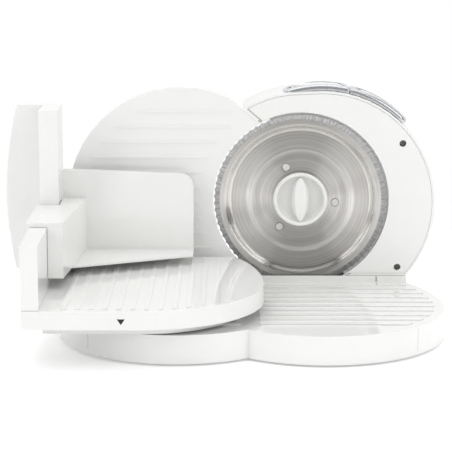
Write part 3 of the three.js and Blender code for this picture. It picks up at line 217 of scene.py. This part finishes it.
def makeTurning():
    setup = turningSetup
    group, given, made = newGroup("turning", ("Rings",), ("Ring", "Broad", "Reach"))
    flat = addNode(group, "ShaderNodeVectorMath", operation="MULTIPLY")
    flat.inputs[1].default_value = (1, 0, 1)
    feed(group, flat.inputs[0], objectPlace(group))
    length = addNode(group, "ShaderNodeVectorMath", operation="LENGTH")
    feed(group, length.inputs[0], flat.outputs["Vector"])
    reach = length.outputs["Value"]
    drift = noiseNode(group, flat.outputs["Vector"], setup["driftScale"], setup["driftDetail"])
    spread = addNode(group, "ShaderNodeCombineXYZ")
    feed(group, spread.inputs["X"], mathNode(group, "MULTIPLY", reach, given.outputs["Rings"]))
    feed(group, spread.inputs["Y"], mathNode(group, "MULTIPLY", drift, setup["driftReach"]))
    along = spread.outputs["Vector"]
    ring = noiseNode(group, along, 1.0, setup["ringDetail"], setup["ringRoughness"])
    broad = noiseNode(group, along, setup["broadScale"], setup["broadDetail"])
    feed(group, made.inputs["Ring"], ring)
    feed(group, made.inputs["Broad"], broad)
    feed(group, made.inputs["Reach"], reach)
    return group


mouldingGroup = makeMoulding()
turningGroup = makeTurning()
print("shared effects made")


# 1 inside a box, 0 outside it
def boxMask(tree, place, low, high):
    mask = 1.0
    for axis, start, end in zip("XYZ", low, high):
        above = mathNode(tree, "GREATER_THAN", place[axis], start * mm)
        below = mathNode(tree, "LESS_THAN", place[axis], end * mm)
        mask = mathNode(tree, "MULTIPLY", mathNode(tree, "MULTIPLY", mask, above), below)
    return mask


# Lines are boxes in the skin painted darker: the mould seams' own tone, and painted shade for the deck's slit
def mouldedPlastic(name, low, high, gloss, ripple, mottleScale=24.0, rippleScale=700.0, lines=None):
    material, tree, shader = newMaterial(name)
    skin = placeGroup(tree, mouldingGroup, {"Mottle Scale": mottleScale, "Ripple Scale": rippleScale})
    colour = mixColours(tree, skin.outputs["Mottle"], low, high)
    if lines:
        place = splitPlace(tree)
        for line in lines.values():
            colour = mixColours(tree, boxMask(tree, place, line["low"], line["high"]), colour, line["colour"])
    feed(tree, shader.inputs["Base Color"], colour)
    feed(tree, shader.inputs["Roughness"], mapValue(tree, skin.outputs["Gloss"], *gloss))
    bumpNormal(tree, shader, skin.outputs["Height"], ripple, mouldingSetup["rippleDepth"])
    return material


# Each band is a pressed ring: its middle, its half width and the share of the roughness left there
def turnedMetal(name, low, high, rough, rings, metallic=1.0, anisotropy=0.0, bands=()):
    setup = turningSetup
    material, tree, shader = newMaterial(name)
    cut = placeGroup(tree, turningGroup, {"Rings": rings})
    tone = mapValue(tree, cut.outputs["Ring"], 0, 1, *setup["toneRange"])
    feed(tree, shader.inputs["Base Color"], mixColours(tree, tone, low, high))
    grain = mapValue(tree, cut.outputs["Broad"], *rough)
    for middle, half, share in bands:
        offset = mathNode(tree, "ABSOLUTE", mathNode(tree, "SUBTRACT", cut.outputs["Reach"], middle * mm))
        left = mapValue(tree, offset, share, 1.0, half * setup["bandCore"] * mm, half * mm)
        grain = mathNode(tree, "MULTIPLY", grain, left)
    feed(tree, shader.inputs["Roughness"], grain)
    shader.inputs["Metallic"].default_value = metallic
    if anisotropy:
        shader.inputs["Anisotropic"].default_value = anisotropy
        shader.inputs["Anisotropic Rotation"].default_value = setup["grainTurn"]
        tangent = addNode(tree, "ShaderNodeTangent", direction_type="RADIAL", axis="Y")
        feed(tree, shader.inputs["Tangent"], tangent.outputs["Tangent"])
    bumpNormal(tree, shader, cut.outputs["Ring"], setup["bump"], setup["bumpDepth"])
    return material


# Ground edge of the blade: short scratches across the bevel
groundSetup = {
    "low": (0.3, 0.3, 0.3),
    "high": (0.64, 0.64, 0.64),
    "rough": (0.3, 0.45),
    "around": 48.0,
    "across": 300.0,
    "detail": 3.0,
    "roughness": 0.65,
    "toneRange": (0.34, 0.66),
    "bump": 0.25,
    "bumpDepth": 0.05,
}


def groundSteel():
    setup = groundSetup
    material, tree, shader = newMaterial("groundEdge")
    place = splitPlace(tree)
    turn = mathNode(tree, "ARCTAN2", place["Z"], place["X"])
    unrolled = addNode(tree, "ShaderNodeCombineXYZ")
    feed(tree, unrolled.inputs["X"], mathNode(tree, "MULTIPLY", turn, setup["around"]))
    feed(tree, unrolled.inputs["Y"], mathNode(tree, "MULTIPLY", place["Y"], setup["across"]))
    scratch = noiseNode(tree, unrolled.outputs["Vector"], 1.0, setup["detail"], setup["roughness"])
    tone = mapValue(tree, scratch, 0, 1, *setup["toneRange"])
    feed(tree, shader.inputs["Base Color"], mixColours(tree, tone, setup["low"], setup["high"]))
    feed(tree, shader.inputs["Roughness"], mapValue(tree, scratch, *setup["rough"]))
    shader.inputs["Metallic"].default_value = 1
    bumpNormal(tree, shader, scratch, setup["bump"], setup["bumpDepth"])
    return material


plasticSetup = {
    "whitePlastic": {
        "low": (0.86, 0.86, 0.845),
        "high": (0.9, 0.9, 0.888),
        "gloss": (0.012, 0.03),
        "ripple": 0.001,
    },
    "greyPlastic": {
        "low": (0.54, 0.55, 0.54),
        "high": (0.62, 0.63, 0.62),
        "gloss": (0.35, 0.5),
        "ripple": 0.1,
    },
    "footRubber": {
        "low": (0.022, 0.022, 0.023),
        "high": (0.03, 0.03, 0.031),
        "gloss": (0.6, 0.8),
        "ripple": 0.3,
    },
    "darkMetal": {
        "low": (0.08, 0.085, 0.09),
        "high": (0.1, 0.105, 0.11),
        "gloss": (0.4, 0.55),
        "ripple": 0.1,
    },
    "hubPlastic": {
        "low": (0.62, 0.62, 0.6),
        "high": (0.7, 0.7, 0.68),
        "gloss": (0.25, 0.35),
        "ripple": 0.1,
    },
    # the knob's dish: a greyer white, painted shade of the deep dish
    "dishPaintedShade": {
        "low": (0.68, 0.68, 0.66),
        "high": (0.74, 0.74, 0.72),
        "gloss": (0.1, 0.2),
        "ripple": 0.02,
    },
    # cover screws: a dull brown, painted shade of their deep recesses
    "screwRecessShade": {
        "low": (0.17, 0.162, 0.14),
        "high": (0.27, 0.258, 0.225),
        "gloss": (0.3, 0.45),
        "ripple": 0.1,
    },
    # the strip behind the cover's seam: beige, painted shade of the gap
    "seamShadeBeige": {
        "low": (0.47, 0.445, 0.39),
        "high": (0.54, 0.515, 0.46),
        "gloss": (0.3, 0.45),
        "ripple": 0.05,
    },
}
plasticSetup["basePlastic"] = {
    **plasticSetup["whitePlastic"],
    "lines": {
        "leftSeam": {"low": (-133.1, -140, 8), "high": (-132.4, -80, 26), "colour": (0.66, 0.65, 0.62)},
        "rightSeam": {"low": (198.4, -140, 6), "high": (199.1, -80, 30), "colour": (0.66, 0.65, 0.62)},
        # the slit's dark is painted shade of the opening
        "deckSlitShade": {"low": (170.3, 60, 33.2), "high": (171.2, 90, 38.8), "colour": (0.3, 0.29, 0.27)},
    },
}
metalSetup = {
    "bladeSteel": {
        "low": (0.67, 0.648, 0.622),
        "high": (0.85, 0.834, 0.808),
        "rough": (0.38, 0.5),
        "rings": 620.0,
        "anisotropy": 0.98,
        "bands": ((56.2, 3.6, 0.72), (79.4, 4.4, 0.62)),
    },
    "bezelChrome": {
        "low": (0.66, 0.675, 0.7),
        "high": (0.71, 0.725, 0.75),
        "rough": (0.22, 0.3),
        "rings": 300.0,
        "metallic": 0.65,
    },
    "zincSteel": {
        "low": (0.36, 0.37, 0.38),
        "high": (0.44, 0.45, 0.46),
        "rough": (0.35, 0.5),
        "rings": 700.0,
    },
}
finishes = {name: mouldedPlastic(name, **setup) for name, setup in plasticSetup.items()}
finishes.update({name: turnedMetal(name, **setup) for name, setup in metalSetup.items()})
finishes["groundEdge"] = groundSteel()
print("finishes made:", len(finishes))


# Shading that is smooth over round faces and crisp at real edges
shadingSetup = {"limit": 35, "weld": 0.02, "flat": 0.3, "segments": 4, "weight": 100}


def smoothShading():
    group = bpy.data.node_groups.new("smoothShading", "GeometryNodeTree")
    for way in ("INPUT", "OUTPUT"):
        group.interface.new_socket(name="Geometry", in_out=way, socket_type="NodeSocketGeometry")
    given = addNode(group, "NodeGroupInput")
    made = addNode(group, "NodeGroupOutput")
    bare = addNode(group, "GeometryNodeRemoveAttribute")
    bare.inputs["Name"].default_value = "custom_normal"
    angle = addNode(group, "GeometryNodeInputMeshEdgeAngle")
    gentle = addNode(group, "FunctionNodeCompare", data_type="FLOAT", operation="LESS_EQUAL")
    faces = addNode(group, "GeometryNodeSetShadeSmooth", domain="FACE")
    edges = addNode(group, "GeometryNodeSetShadeSmooth", domain="EDGE")
    feed(group, bare.inputs["Geometry"], given.outputs[0])
    feed(group, faces.inputs["Geometry"], bare.outputs["Geometry"])
    feed(group, edges.inputs["Geometry"], faces.outputs["Geometry"])
    feed(group, gentle.inputs[0], angle.outputs["Unsigned Angle"])
    feed(group, gentle.inputs[1], math.radians(shadingSetup["limit"]))
    feed(group, edges.inputs["Shade Smooth"], gentle.outputs["Result"])
    feed(group, made.inputs[0], edges.outputs["Geometry"])
    return group


shadingGroup = smoothShading()


def softenEdges(piece, width, merge):
    setup = shadingSetup
    weld = piece.modifiers.new("weld", "WELD")
    weld.merge_threshold = setup["weld"] * mm
    if merge:
        flat = piece.modifiers.new("flatFaces", "DECIMATE")
        flat.decimate_type = "DISSOLVE"
        flat.angle_limit = math.radians(setup["flat"])
    smooth = piece.modifiers.new("smoothShading", "NODES")
    smooth.node_group = shadingGroup
    if width > 0:
        bevel = piece.modifiers.new("edgeRound", "BEVEL")
        bevel.width = width * mm
        bevel.segments = setup["segments"]
        bevel.limit_method = "ANGLE"
        bevel.angle_limit = math.radians(setup["limit"])
        bevel.use_clamp_overlap = True
        bevel.miter_outer = "MITER_ARC"
    level = piece.modifiers.new("levelNormals", "WEIGHTED_NORMAL")
    level.keep_sharp = True
    level.weight = setup["weight"]


# CAD nodes: the finish of each slot, nodes with a finish of their own, and how round their edges are
dressSetup = {
    "slots": {
        "white_plastic": "whitePlastic",
        "grey_plastic": "greyPlastic",
        "rubber": "footRubber",
        "blade_steel": "bladeSteel",
        "chrome": "bezelChrome",
        "zinc_steel": "zincSteel",
        "dark_metal": "darkMetal",
    },
    "own": {
        "drive_hub": "hubPlastic",
        "base_shell": "basePlastic",
        # the cover screws' brown is painted shade of their recesses
        "cover_screw_upper": "screwRecessShade",
        "cover_screw_lower": "screwRecessShade",
    },
    "edges": {
        "base_shell": 0.5,
        "motor_housing": 0.8,
        "front_cover": 0.35,
        "gauge_plate": 0.5,
        "gauge_tower": 0.8,
        "carriage_tray": 0.3,
        "carriage_upright": 1.6,
        "pusher": 0.6,
        "power_button": 0.6,
        "safety_button": 0.6,
        "thickness_knob": 0.5,
    },
    "unmerged": ("base_shell", "carriage_tray", "carriage_upright"),  # merging flat faces would open these
}


def paint(piece, *names):
    piece.data.materials.clear()
    for name in names:
        piece.data.materials.append(finishes[name])


def dressNodes():
    setup = dressSetup
    for entry in frame["record"]["subparts"]:
        name = entry["node"]
        paint(nodes[name], setup["own"].get(name, setup["slots"][entry["material_slot"]]))
        softenEdges(nodes[name], setup["edges"].get(name, 0), name not in setup["unmerged"])


dressNodes()
print("CAD nodes dressed")


# Mesh helpers for the pieces made here, in millimetres from each piece's own place
tiny = 0.001  # points closer than this are one


def atAngle(reach, depth, angle):
    return Vector((reach * math.cos(angle), depth, reach * math.sin(angle))) * mm


def softCorners(points, reach, steps):
    points = [Vector(point) for point in points]
    soft = [points[0]]
    for before, corner, after in zip(points, points[1:], points[2:]):
        start = corner + (before - corner).normalized() * min(reach, (before - corner).length / 2)
        end = corner + (after - corner).normalized() * min(reach, (after - corner).length / 2)
        for i in range(steps + 1):
            t = i / steps
            soft.append(start * (1 - t) ** 2 + corner * 2 * t * (1 - t) + end * t ** 2)
    return soft + [points[-1]]


# Faces from ring to ring: back to the first ring if closed, with both ends filled if capped
def loftRings(rings, closed=False, capped=False, openRings=False):
    mesh = bmesh.new()
    made = [[mesh.verts.new(point) for point in ring] for ring in rings]
    pairs = list(zip(made, made[1:]))
    if closed:
        pairs.append((made[-1], made[0]))
    for first, second in pairs:
        for i in range(len(first) - openRings):
            j = (i + 1) % len(first)
            mesh.faces.new((first[i], first[j], second[j], second[i]))
    if capped:
        mesh.faces.new(made[0])
        mesh.faces.new(made[-1])
    return mesh


def finishMesh(mesh, name, place, sharp=30):
    bmesh.ops.remove_doubles(mesh, verts=mesh.verts, dist=tiny * mm)
    bmesh.ops.dissolve_degenerate(mesh, edges=mesh.edges, dist=tiny * mm)
    bmesh.ops.recalc_face_normals(mesh, faces=mesh.faces)
    data = bpy.data.meshes.new(name)
    mesh.to_mesh(data)
    mesh.free()
    data.shade_smooth()
    data.set_sharp_from_angle(angle=math.radians(sharp))
    piece = bpy.data.objects.new(name, data)
    piece.location = place
    bpy.context.collection.objects.link(piece)
    return piece


# Points spread evenly round a rectangle with its own radius at each corner
def roundedLine(half, corners, count, steps=12):
    points = [Vector((half[0], 0))]
    for turn, (x, z) in enumerate(((1, 1), (-1, 1), (-1, -1), (1, -1))):
        middle = Vector((x * (half[0] - corners[turn]), z * (half[1] - corners[turn])))
        for i in range(steps + 1):
            angle = math.radians(90 * turn + 90 * i / steps)
            points.append(middle + Vector((math.cos(angle), math.sin(angle))) * corners[turn])
    points.append(points[0])
    reaches = [0.0]
    for before, after in zip(points, points[1:]):
        reaches.append(reaches[-1] + (after - before).length)
    even = []
    spot = 0
    for i in range(count):
        reach = reaches[-1] * i / count
        while reaches[spot + 1] < reach:
            spot += 1
        step = max(reaches[spot + 1] - reaches[spot], tiny)
        even.append(points[spot].lerp(points[spot + 1], (reach - reaches[spot]) / step))
    return even


# A thin plate: an outline in X and Z, sunk into what carries it, with a chamfer round its front
def makePlate(name, line, place, sunk, proud, chamfer, taper):
    levels = ((sunk, 1.0), (chamfer - proud, 1.0), (-proud, taper))
    rings = [[Vector((x * share, depth, z * share)) * mm for x, z in line] for depth, share in levels]
    return finishMesh(loftRings(rings, capped=True), name, place)


def seat(piece, body, slot, *replaced):
    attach(piece, body)
    if replaced:
        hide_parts(*replaced)


# One finish up to a reach from the piece's axis and another beyond it
def paintByReach(piece, inner, outer, limit):
    paint(piece, inner, outer)
    for face in piece.data.polygons:
        face.material_index = int(math.hypot(face.center.x, face.center.z) > limit * mm)


# Blade: scalloped ground edge, flat ring, dished middle and holes for the drive pins
bladeSetup = {
    "teeth": 77,
    "stepsPerTooth": 10,
    "scallop": 1.3,
    "hollow": 0.22,
    "edge": 95.0,
    "edgeThickness": 0.35,
    "ground": 88.5,
    "groundDepth": 1.0,
    "groundMargin": 0.2,
    "dish": ((84.8, 1.05), (83.0, 1.5), (81.2, 2.8), (79.4, 4.8), (77.6, 6.1), (75.0, 6.5), (58.8, 7.15),
             (54.6, 6.7), (52.0, 7.0), (12, 7.0)),
    "thickness": 1.2,
    "corner": 1.5,
    "cornerSteps": 5,
    "pins": 3,
    "pinCircle": 38.5,
    "pinHole": 4.7,
    "pinAngle": -6.0,
    "pinDepth": 6.93,
    "pinCut": 20.0,
    "pinSides": 48,
    "sharp": 30,
}


def bladeRing(angle, line):
    setup = bladeSetup
    turn = (angle / math.tau * setup["teeth"]) % 1
    bite = 1 - (2 * turn - 1) ** 2
    ring = []
    for reach, depth in line:
        near = max(0.0, (reach - setup["ground"]) / (setup["edge"] - setup["ground"]))
        reach -= setup["scallop"] * bite * near
        depth += setup["hollow"] * bite * 4 * near * (1 - near)
        ring.append(atAngle(reach, depth, angle))
    return ring


def cutPinHoles(blade):
    setup = bladeSetup
    mesh = bmesh.new()
    radius = setup["pinHole"] * mm
    lying = Matrix.Rotation(math.radians(90), 4, "X")
    for i in range(setup["pins"]):
        angle = math.radians(setup["pinAngle"] + 360 * i / setup["pins"])
        made = bmesh.ops.create_cone(mesh, cap_ends=True, segments=setup["pinSides"], radius1=radius,
                                     radius2=radius, depth=setup["pinCut"] * mm)
        place = Matrix.Translation(atAngle(setup["pinCircle"], setup["pinDepth"], angle))
        bmesh.ops.transform(mesh, matrix=place @ lying, verts=made["verts"])
    cutter = finishMesh(mesh, "pinHoleCutter", blade.location)
    cut = blade.modifiers.new("pinHoles", "BOOLEAN")
    cut.object = cutter
    cut.solver = "EXACT"
    shaped = bpy.data.meshes.new_from_object(blade.evaluated_get(bpy.context.evaluated_depsgraph_get()))
    blade.modifiers.clear()
    blade.data = shaped
    shaped.set_sharp_from_angle(angle=math.radians(setup["sharp"]))
    bpy.data.objects.remove(cutter)


def makeBlade():
    setup = bladeSetup
    corners = ((setup["edge"], 0), (setup["ground"], setup["groundDepth"])) + setup["dish"]
    front = softCorners(corners, setup["corner"], setup["cornerSteps"])
    back = [point + Vector((0, setup["thickness"])) for point in front[1:]]
    line = front + back[::-1] + [Vector((setup["edge"], setup["edgeThickness"]))]
    steps = setup["teeth"] * setup["stepsPerTooth"]
    rings = [bladeRing(math.tau * i / steps, line) for i in range(steps)]
    blade = finishMesh(loftRings(rings, closed=True), "bladeDisc", bladeAxis, setup["sharp"])
    cutPinHoles(blade)
    paintByReach(blade, "bladeSteel", "groundEdge", setup["ground"] + setup["groundMargin"])
    seat(blade, "blade", "blade_steel", "blade")


makeBlade()
print("blade made")


# Knob: a rounded rim, a dished face painted darker as its shade, and a lens-shaped finger fin
knobSetup = {
    "line": ((0, 6.5), (13, 6.4), (19.4, 6.0), (23.2, 4.8), (25.3, 2.8), (26.2, 1.0), (26.8, 0.3), (28, 0.1),
             (29.3, 0.8), (29.75, 2.4), (29.75, 6.7), (0, 6.7)),
    "corner": 1.6,
    "cornerSteps": 6,
    "dish": 25.6,
    "around": 144,
    "finLength": 48.0,
    "finWidth": 14.0,
    "finPower": 1.1,
    "finAround": 96,
    "finSharp": 50,
    "finLengthGrow": 0.6,
    # depth, growth at the foot, share of the width
    "finLevels": ((6.4, 2.2, 1.0), (5.6, 1.0, 1.0), (4.4, 0.4, 1.0), (2.4, 0.1, 1.0), (1.0, 0.0, 1.0),
                  (0.55, -0.25, 0.97), (0.3, -0.6, 0.88), (0.15, -0.8, 0.6), (0.1, -0.9, 0.3)),
}


def makeKnobDisc():
    setup = knobSetup
    line = softCorners(setup["line"], setup["corner"], setup["cornerSteps"])
    rings = []
    for i in range(setup["around"]):
        angle = math.tau * i / setup["around"]
        rings.append([atAngle(reach, depth, angle) for reach, depth in line])
    disc = finishMesh(loftRings(rings, closed=True, openRings=True), "knobDisc", bladeAxis)
    # inside the dish's reach the face is painted darker, as its shade
    paintByReach(disc, "dishPaintedShade", "whitePlastic", setup["dish"])
    seat(disc, "knob", "white_plastic", "blade_knob")


def makeKnobFin():
    setup = knobSetup
    rings = []
    for depth, grow, narrow in setup["finLevels"]:
        ring = []
        for i in range(setup["finAround"]):
            angle = math.tau * i / setup["finAround"]
            side = math.copysign(abs(math.sin(angle)) ** setup["finPower"], math.sin(angle))
            x = (setup["finWidth"] / 2 + grow) * narrow * side
            z = (setup["finLength"] / 2 + grow * setup["finLengthGrow"]) * math.cos(angle)
            ring.append(Vector((x, depth, z)) * mm)
        rings.append(ring)
    fin = finishMesh(loftRings(rings, capped=True), "knobFin", bladeAxis, setup["finSharp"])
    paint(fin, "whitePlastic")
    seat(fin, "knob", "white_plastic")


makeKnobDisc()
makeKnobFin()
print("knob made")


# Ledges seen through the gap at the blade's edge: in the housing's recess and on the gauge plate
ledgeSetup = {
    "recessLedge": {"body": "base", "reach": (92.5, 97.4), "depth": (3.4, 4.4), "arc": (-59.5, 111.0)},
    "seamLedge": {"body": "base", "reach": (95.6, 96.8), "depth": (0.3, 3.0), "arc": (111.2, 135.0)},
    "gaugeLip": {"body": "gauge", "reach": (95.6, 98.4), "depth": (0.3, 3.0), "arc": (135.1, 226.0)},
}
ledgeStep = 1.5  # degrees


def makeLedge(name, body, reach, depth, arc):
    inner, outer = reach
    front, rear = depth
    start, end = arc
    corners = ((inner, front), (outer, front), (outer, rear), (inner, rear))
    steps = math.ceil((end - start) / ledgeStep)
    rings = []
    for i in range(steps + 1):
        angle = math.radians(start + (end - start) * i / steps)
        rings.append([atAngle(*corner, angle) for corner in corners])
    ledge = finishMesh(loftRings(rings, capped=True), name, bladeAxis)
    paint(ledge, "whitePlastic")
    seat(ledge, body, "white_plastic")


for ledgeName, ledge in ledgeSetup.items():
    makeLedge(ledgeName, **ledge)
print("ledges made")


# Start mark on the tray's front rim: a thin dark triangle pointing down
markSetup = {
    "fromBlade": -182.1,
    "height": 50.8,
    "width": 7.8,
    "drop": 5.8,
    "corner": 0.5,
    "cornerSteps": 5,
    "plate": {"sunk": 0.3, "proud": 0.12, "chamfer": 0.048, "taper": 0.96},
}


def makeMark():
    setup = markSetup
    half = setup["width"] / 2
    drop = setup["drop"] / 2
    topMiddle = (0, drop)
    corners = (topMiddle, (half, drop), (0, -drop), (-half, drop), topMiddle)
    line = softCorners(corners, setup["corner"], setup["cornerSteps"])[1:-1]
    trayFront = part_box("carriage_tray")[0].y
    place = Vector((bladeAxis.x + setup["fromBlade"] * mm, trayFront, setup["height"] * mm))
    mark = makePlate("startMark", line, place, **setup["plate"])
    paint(mark, "footRubber")
    seat(mark, "carriage", "rubber")


makeMark()
print("start mark made")


# Foot of the low wall: a shallow plate on the tray's front rim, under the wall
footSetup = {
    "width": 17.2,
    "height": 7.0,
    "fromLeft": 0.3,
    "drop": 4.4,
    "corner": 0.8,
    "around": 64,
    "plate": {"sunk": 0.4, "proud": 0.7, "chamfer": 0.35, "taper": 0.97},
}


def makeFoot():
    setup = footSetup
    low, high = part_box("carriage_tray")
    half = setup["width"] / 2
    line = roundedLine((half, setup["height"] / 2), [setup["corner"]] * 4, setup["around"])
    place = Vector((low.x + (half + setup["fromLeft"]) * mm, low.y, high.z - setup["drop"] * mm))
    foot = makePlate("wallFoot", line, place, **setup["plate"])
    paint(foot, "whitePlastic")
    seat(foot, "carriage", "white_plastic")


makeFoot()
print("wall foot made")


# Backing strip behind the seam at the slanting end of the cover, its ends given from the blade's axis; its beige
# is painted shade, so that the seam reads as a dark line
seamShadeSetup = {
    "start": (-58.4, 100.4),
    "end": (-43.0, 86.4),
    "width": 3.4,
    "corner": 1.0,
    "around": 64,
    "plate": {"sunk": 0.6, "proud": 0.6, "chamfer": 0.2, "taper": 0.98},
}


def makeSeamShade():
    setup = seamShadeSetup
    start = Vector(setup["start"])
    end = Vector(setup["end"])
    along = (end - start).normalized()
    across = Vector((-along.y, along.x))
    half = ((end - start).length / 2, setup["width"] / 2)
    line = [along * x + across * z for x, z in roundedLine(half, [setup["corner"]] * 4, setup["around"])]
    middle = (start + end) / 2 * mm
    seamShade = makePlate("hornSeamShade", line, bladeAxis + Vector((middle.x, 0, middle.y)), **setup["plate"])
    paint(seamShade, "seamShadeBeige")
    seat(seamShade, "base", "grey_plastic")


makeSeamShade()
print("horn seal made")


# Chrome frames round the buttons: a round lip, higher in front, that dips towards each button
bezelSetup = {
    "rimRadius": 123.7,
    "depth": (6.0, 45.0),
    "buttonGap": 0.4,
    "width": 8.0,
    # inward from the outer edge, height over the rim
    "line": ((0.1, 0.2), (0, 2.2), (0.25, 3.6), (0.8, 4.9), (1.9, 5.9), (3.2, 6.2), (4.2, 5.5), (5.0, 3.0),
             (8.0, 2.7), (8.0, -5.0), (6.4, -5.0), (6.4, 0.2)),
    "frontRise": 0.08,
    "corner": 0.7,
    "cornerSteps": 6,
    "around": 192,
    "sharp": 40,
    "frames": {
        "power": {"arc": (110.1, 76.55), "corners": (1.0, 9.0, 9.0, 1.0)},
        "safety": {"arc": (76.25, 43.9), "corners": (9.0, 1.0, 1.0, 9.0)},
    },
}


def boxFromBlade(node):
    return [(corner - bladeAxis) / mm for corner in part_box(node)]


# The rim is round: its top and its right side are the housing's
housingTop = boxFromBlade("motor_housing")[1]
rimMiddle = Vector((housingTop.x - bezelSetup["rimRadius"], housingTop.z - bezelSetup["rimRadius"]))


# A point over the rim, by the angle round it
def roundRim(turn, depth, height):
    spot = rimMiddle + Vector((math.cos(turn), math.sin(turn))) * (bezelSetup["rimRadius"] + height)
    return Vector((spot.x, depth, spot.y)) * mm


# A button's middle and the way out of the housing, against its press
def buttonPlace(button):
    low, high = boxFromBlade(button + "_button")
    press = Vector(joints[button + "_press"]["axis"])
    return (low + high) / 2, Vector((-press.x, -press.z))


# A point over the rim, reached along the way out from a point along and across from a button's middle
def overButton(middle, up, along, across, height):
    spot = Vector((middle.x, middle.z)) + Vector((up.y, -up.x)) * along - rimMiddle
    rise = spot.dot(up)
    reach = bezelSetup["rimRadius"] + height
    spot += up * (math.sqrt(rise ** 2 - spot.length_squared + reach ** 2) - rise) + rimMiddle
    return Vector((spot.x, middle.y + across, spot.y)) * mm


def makeBezel(button, arc, corners):
    setup = bezelSetup
    first, last = (math.radians(angle) for angle in arc)
    front, rear = setup["depth"]
    half = ((first - last) * setup["rimRadius"] / 2, (rear - front) / 2)
    outer = roundedLine(half, corners, setup["around"])
    low, high = boxFromBlade("power_button")  # both buttons have its size
    holeLength, holeWidth = ((high[i] - low[i]) / 2 + setup["buttonGap"] for i in (0, 1))
    hole = roundedLine((holeLength, holeWidth), [holeWidth] * 4, setup["around"])
    place = buttonPlace(button)
    rings = []
    for inward, height in softCorners(setup["line"], setup["corner"], setup["cornerSteps"]):
        ring = []
        for edge, inner in zip(outer, hole):
            lift = height * (1 - setup["frontRise"] * edge.y / half[1]) if height > 0 else height
            turn = (first + last) / 2 - edge.x / setup["rimRadius"]
            away = roundRim(turn, (front + rear) / 2 + edge.y, lift)
            ring.append(away.lerp(overButton(*place, *inner, lift), inward / setup["width"]))
        rings.append(ring)
    bezel = finishMesh(loftRings(rings, closed=True), button + "Bezel", bladeAxis, setup["sharp"])
    paint(bezel, "bezelChrome")
    seat(bezel, "base", "chrome", button + "_bezel")


for button, bezel in bezelSetup["frames"].items():
    makeBezel(button, **bezel)
print("bezels made")


# Floor, world and lamps, in metres
stageSetup = {
    "floorRadius": 1.3,
    "floorSides": 96,
    "floorForward": -0.75,
    "floorColour": (0.97, 0.97, 0.97),
    "floorRoughness": 0.9,
    "floorShine": 0.1,
    "floorGlow": (0.12, 0.28),  # for other rays, for camera rays
    "skyBack": (1.0, 0.9),  # plain light, mirrored light
    "skyFront": (0.6, 0.06),
    "skyRamp": 0.6,  # how far round to the back the sky is at its full level
}
lampSetup = {
    "overhead": {"place": (0.0, 0.2, 1.8), "aim": (0, 0, 0.05), "size": (2.0, 1.4), "power": 12.0},
    "left": {"place": (-2.0, -1.4, 1.35), "aim": (0, 0, 0.3), "size": (0.72, 2.1), "power": 14.5},
    "right": {"place": (2.0, -1.4, 1.35), "aim": (0, 0, 0.3), "size": (0.72, 2.1), "power": 16.5},
}


def addFloor():
    setup = stageSetup
    mesh = bpy.data.meshes.new("studioFloor")
    sheet = bmesh.new()
    bmesh.ops.create_circle(sheet, cap_ends=True, radius=setup["floorRadius"], segments=setup["floorSides"])
    bmesh.ops.translate(sheet, vec=(0, setup["floorForward"], 0), verts=sheet.verts)
    sheet.to_mesh(mesh)
    sheet.free()
    floor = bpy.data.objects.new("studioFloor", mesh)
    bpy.context.collection.objects.link(floor)
    material, tree, shader = newMaterial("floorPaper")
    shader.inputs["Base Color"].default_value = (*setup["floorColour"], 1)
    shader.inputs["Roughness"].default_value = setup["floorRoughness"]
    shader.inputs["Specular IOR Level"].default_value = setup["floorShine"]
    shader.inputs["Emission Color"].default_value = (1, 1, 1, 1)
    ray = addNode(tree, "ShaderNodeLightPath").outputs
    glow = mapValue(tree, ray["Is Camera Ray"], *setup["floorGlow"], 0, 1)
    feed(tree, shader.inputs["Emission Strength"], glow)
    mesh.materials.append(material)


# The room is bright behind the object and dimmer on the camera's side; mirrored, it is dimmer still
def setWorld():
    setup = stageSetup
    world = bpy.data.worlds.new("studioWorld")
    bpy.context.scene.world = world
    world.use_nodes = True
    tree = world.node_tree
    sky = tree.nodes["Background"]
    sky.inputs["Color"].default_value = (1, 1, 1, 1)
    toward = addNode(tree, "ShaderNodeSeparateXYZ")
    feed(tree, toward.inputs["Vector"], addNode(tree, "ShaderNodeTexCoord").outputs["Generated"])
    ray = addNode(tree, "ShaderNodeLightPath").outputs
    front = mapValue(tree, ray["Is Glossy Ray"], *setup["skyFront"], 0, 1)
    back = mapValue(tree, ray["Is Glossy Ray"], *setup["skyBack"], 0, 1)
    behind = mapValue(tree, toward.outputs["Y"], 0, 1, 0.0, setup["skyRamp"])
    room = mathNode(tree, "MAXIMUM", front, mathNode(tree, "MULTIPLY", back, behind))
    feed(tree, sky.inputs["Strength"], mathNode(tree, "MAXIMUM", ray["Is Camera Ray"], room))


def addLamps():
    for name, setup in lampSetup.items():
        data = bpy.data.lights.new(name + "Lamp", "AREA")
        data.shape = "RECTANGLE"
        data.size, data.size_y = setup["size"]
        data.energy = setup["power"]
        lamp = bpy.data.objects.new(name + "Lamp", data)
        lamp.location = setup["place"]
        aim = Vector(setup["aim"]) - lamp.location
        lamp.rotation_euler = aim.to_track_quat("-Z", "Y").to_euler()
        bpy.context.collection.objects.link(lamp)


addFloor()
setWorld()
addLamps()
bpy.context.scene.view_settings.view_transform = "Standard"
print("studio set")
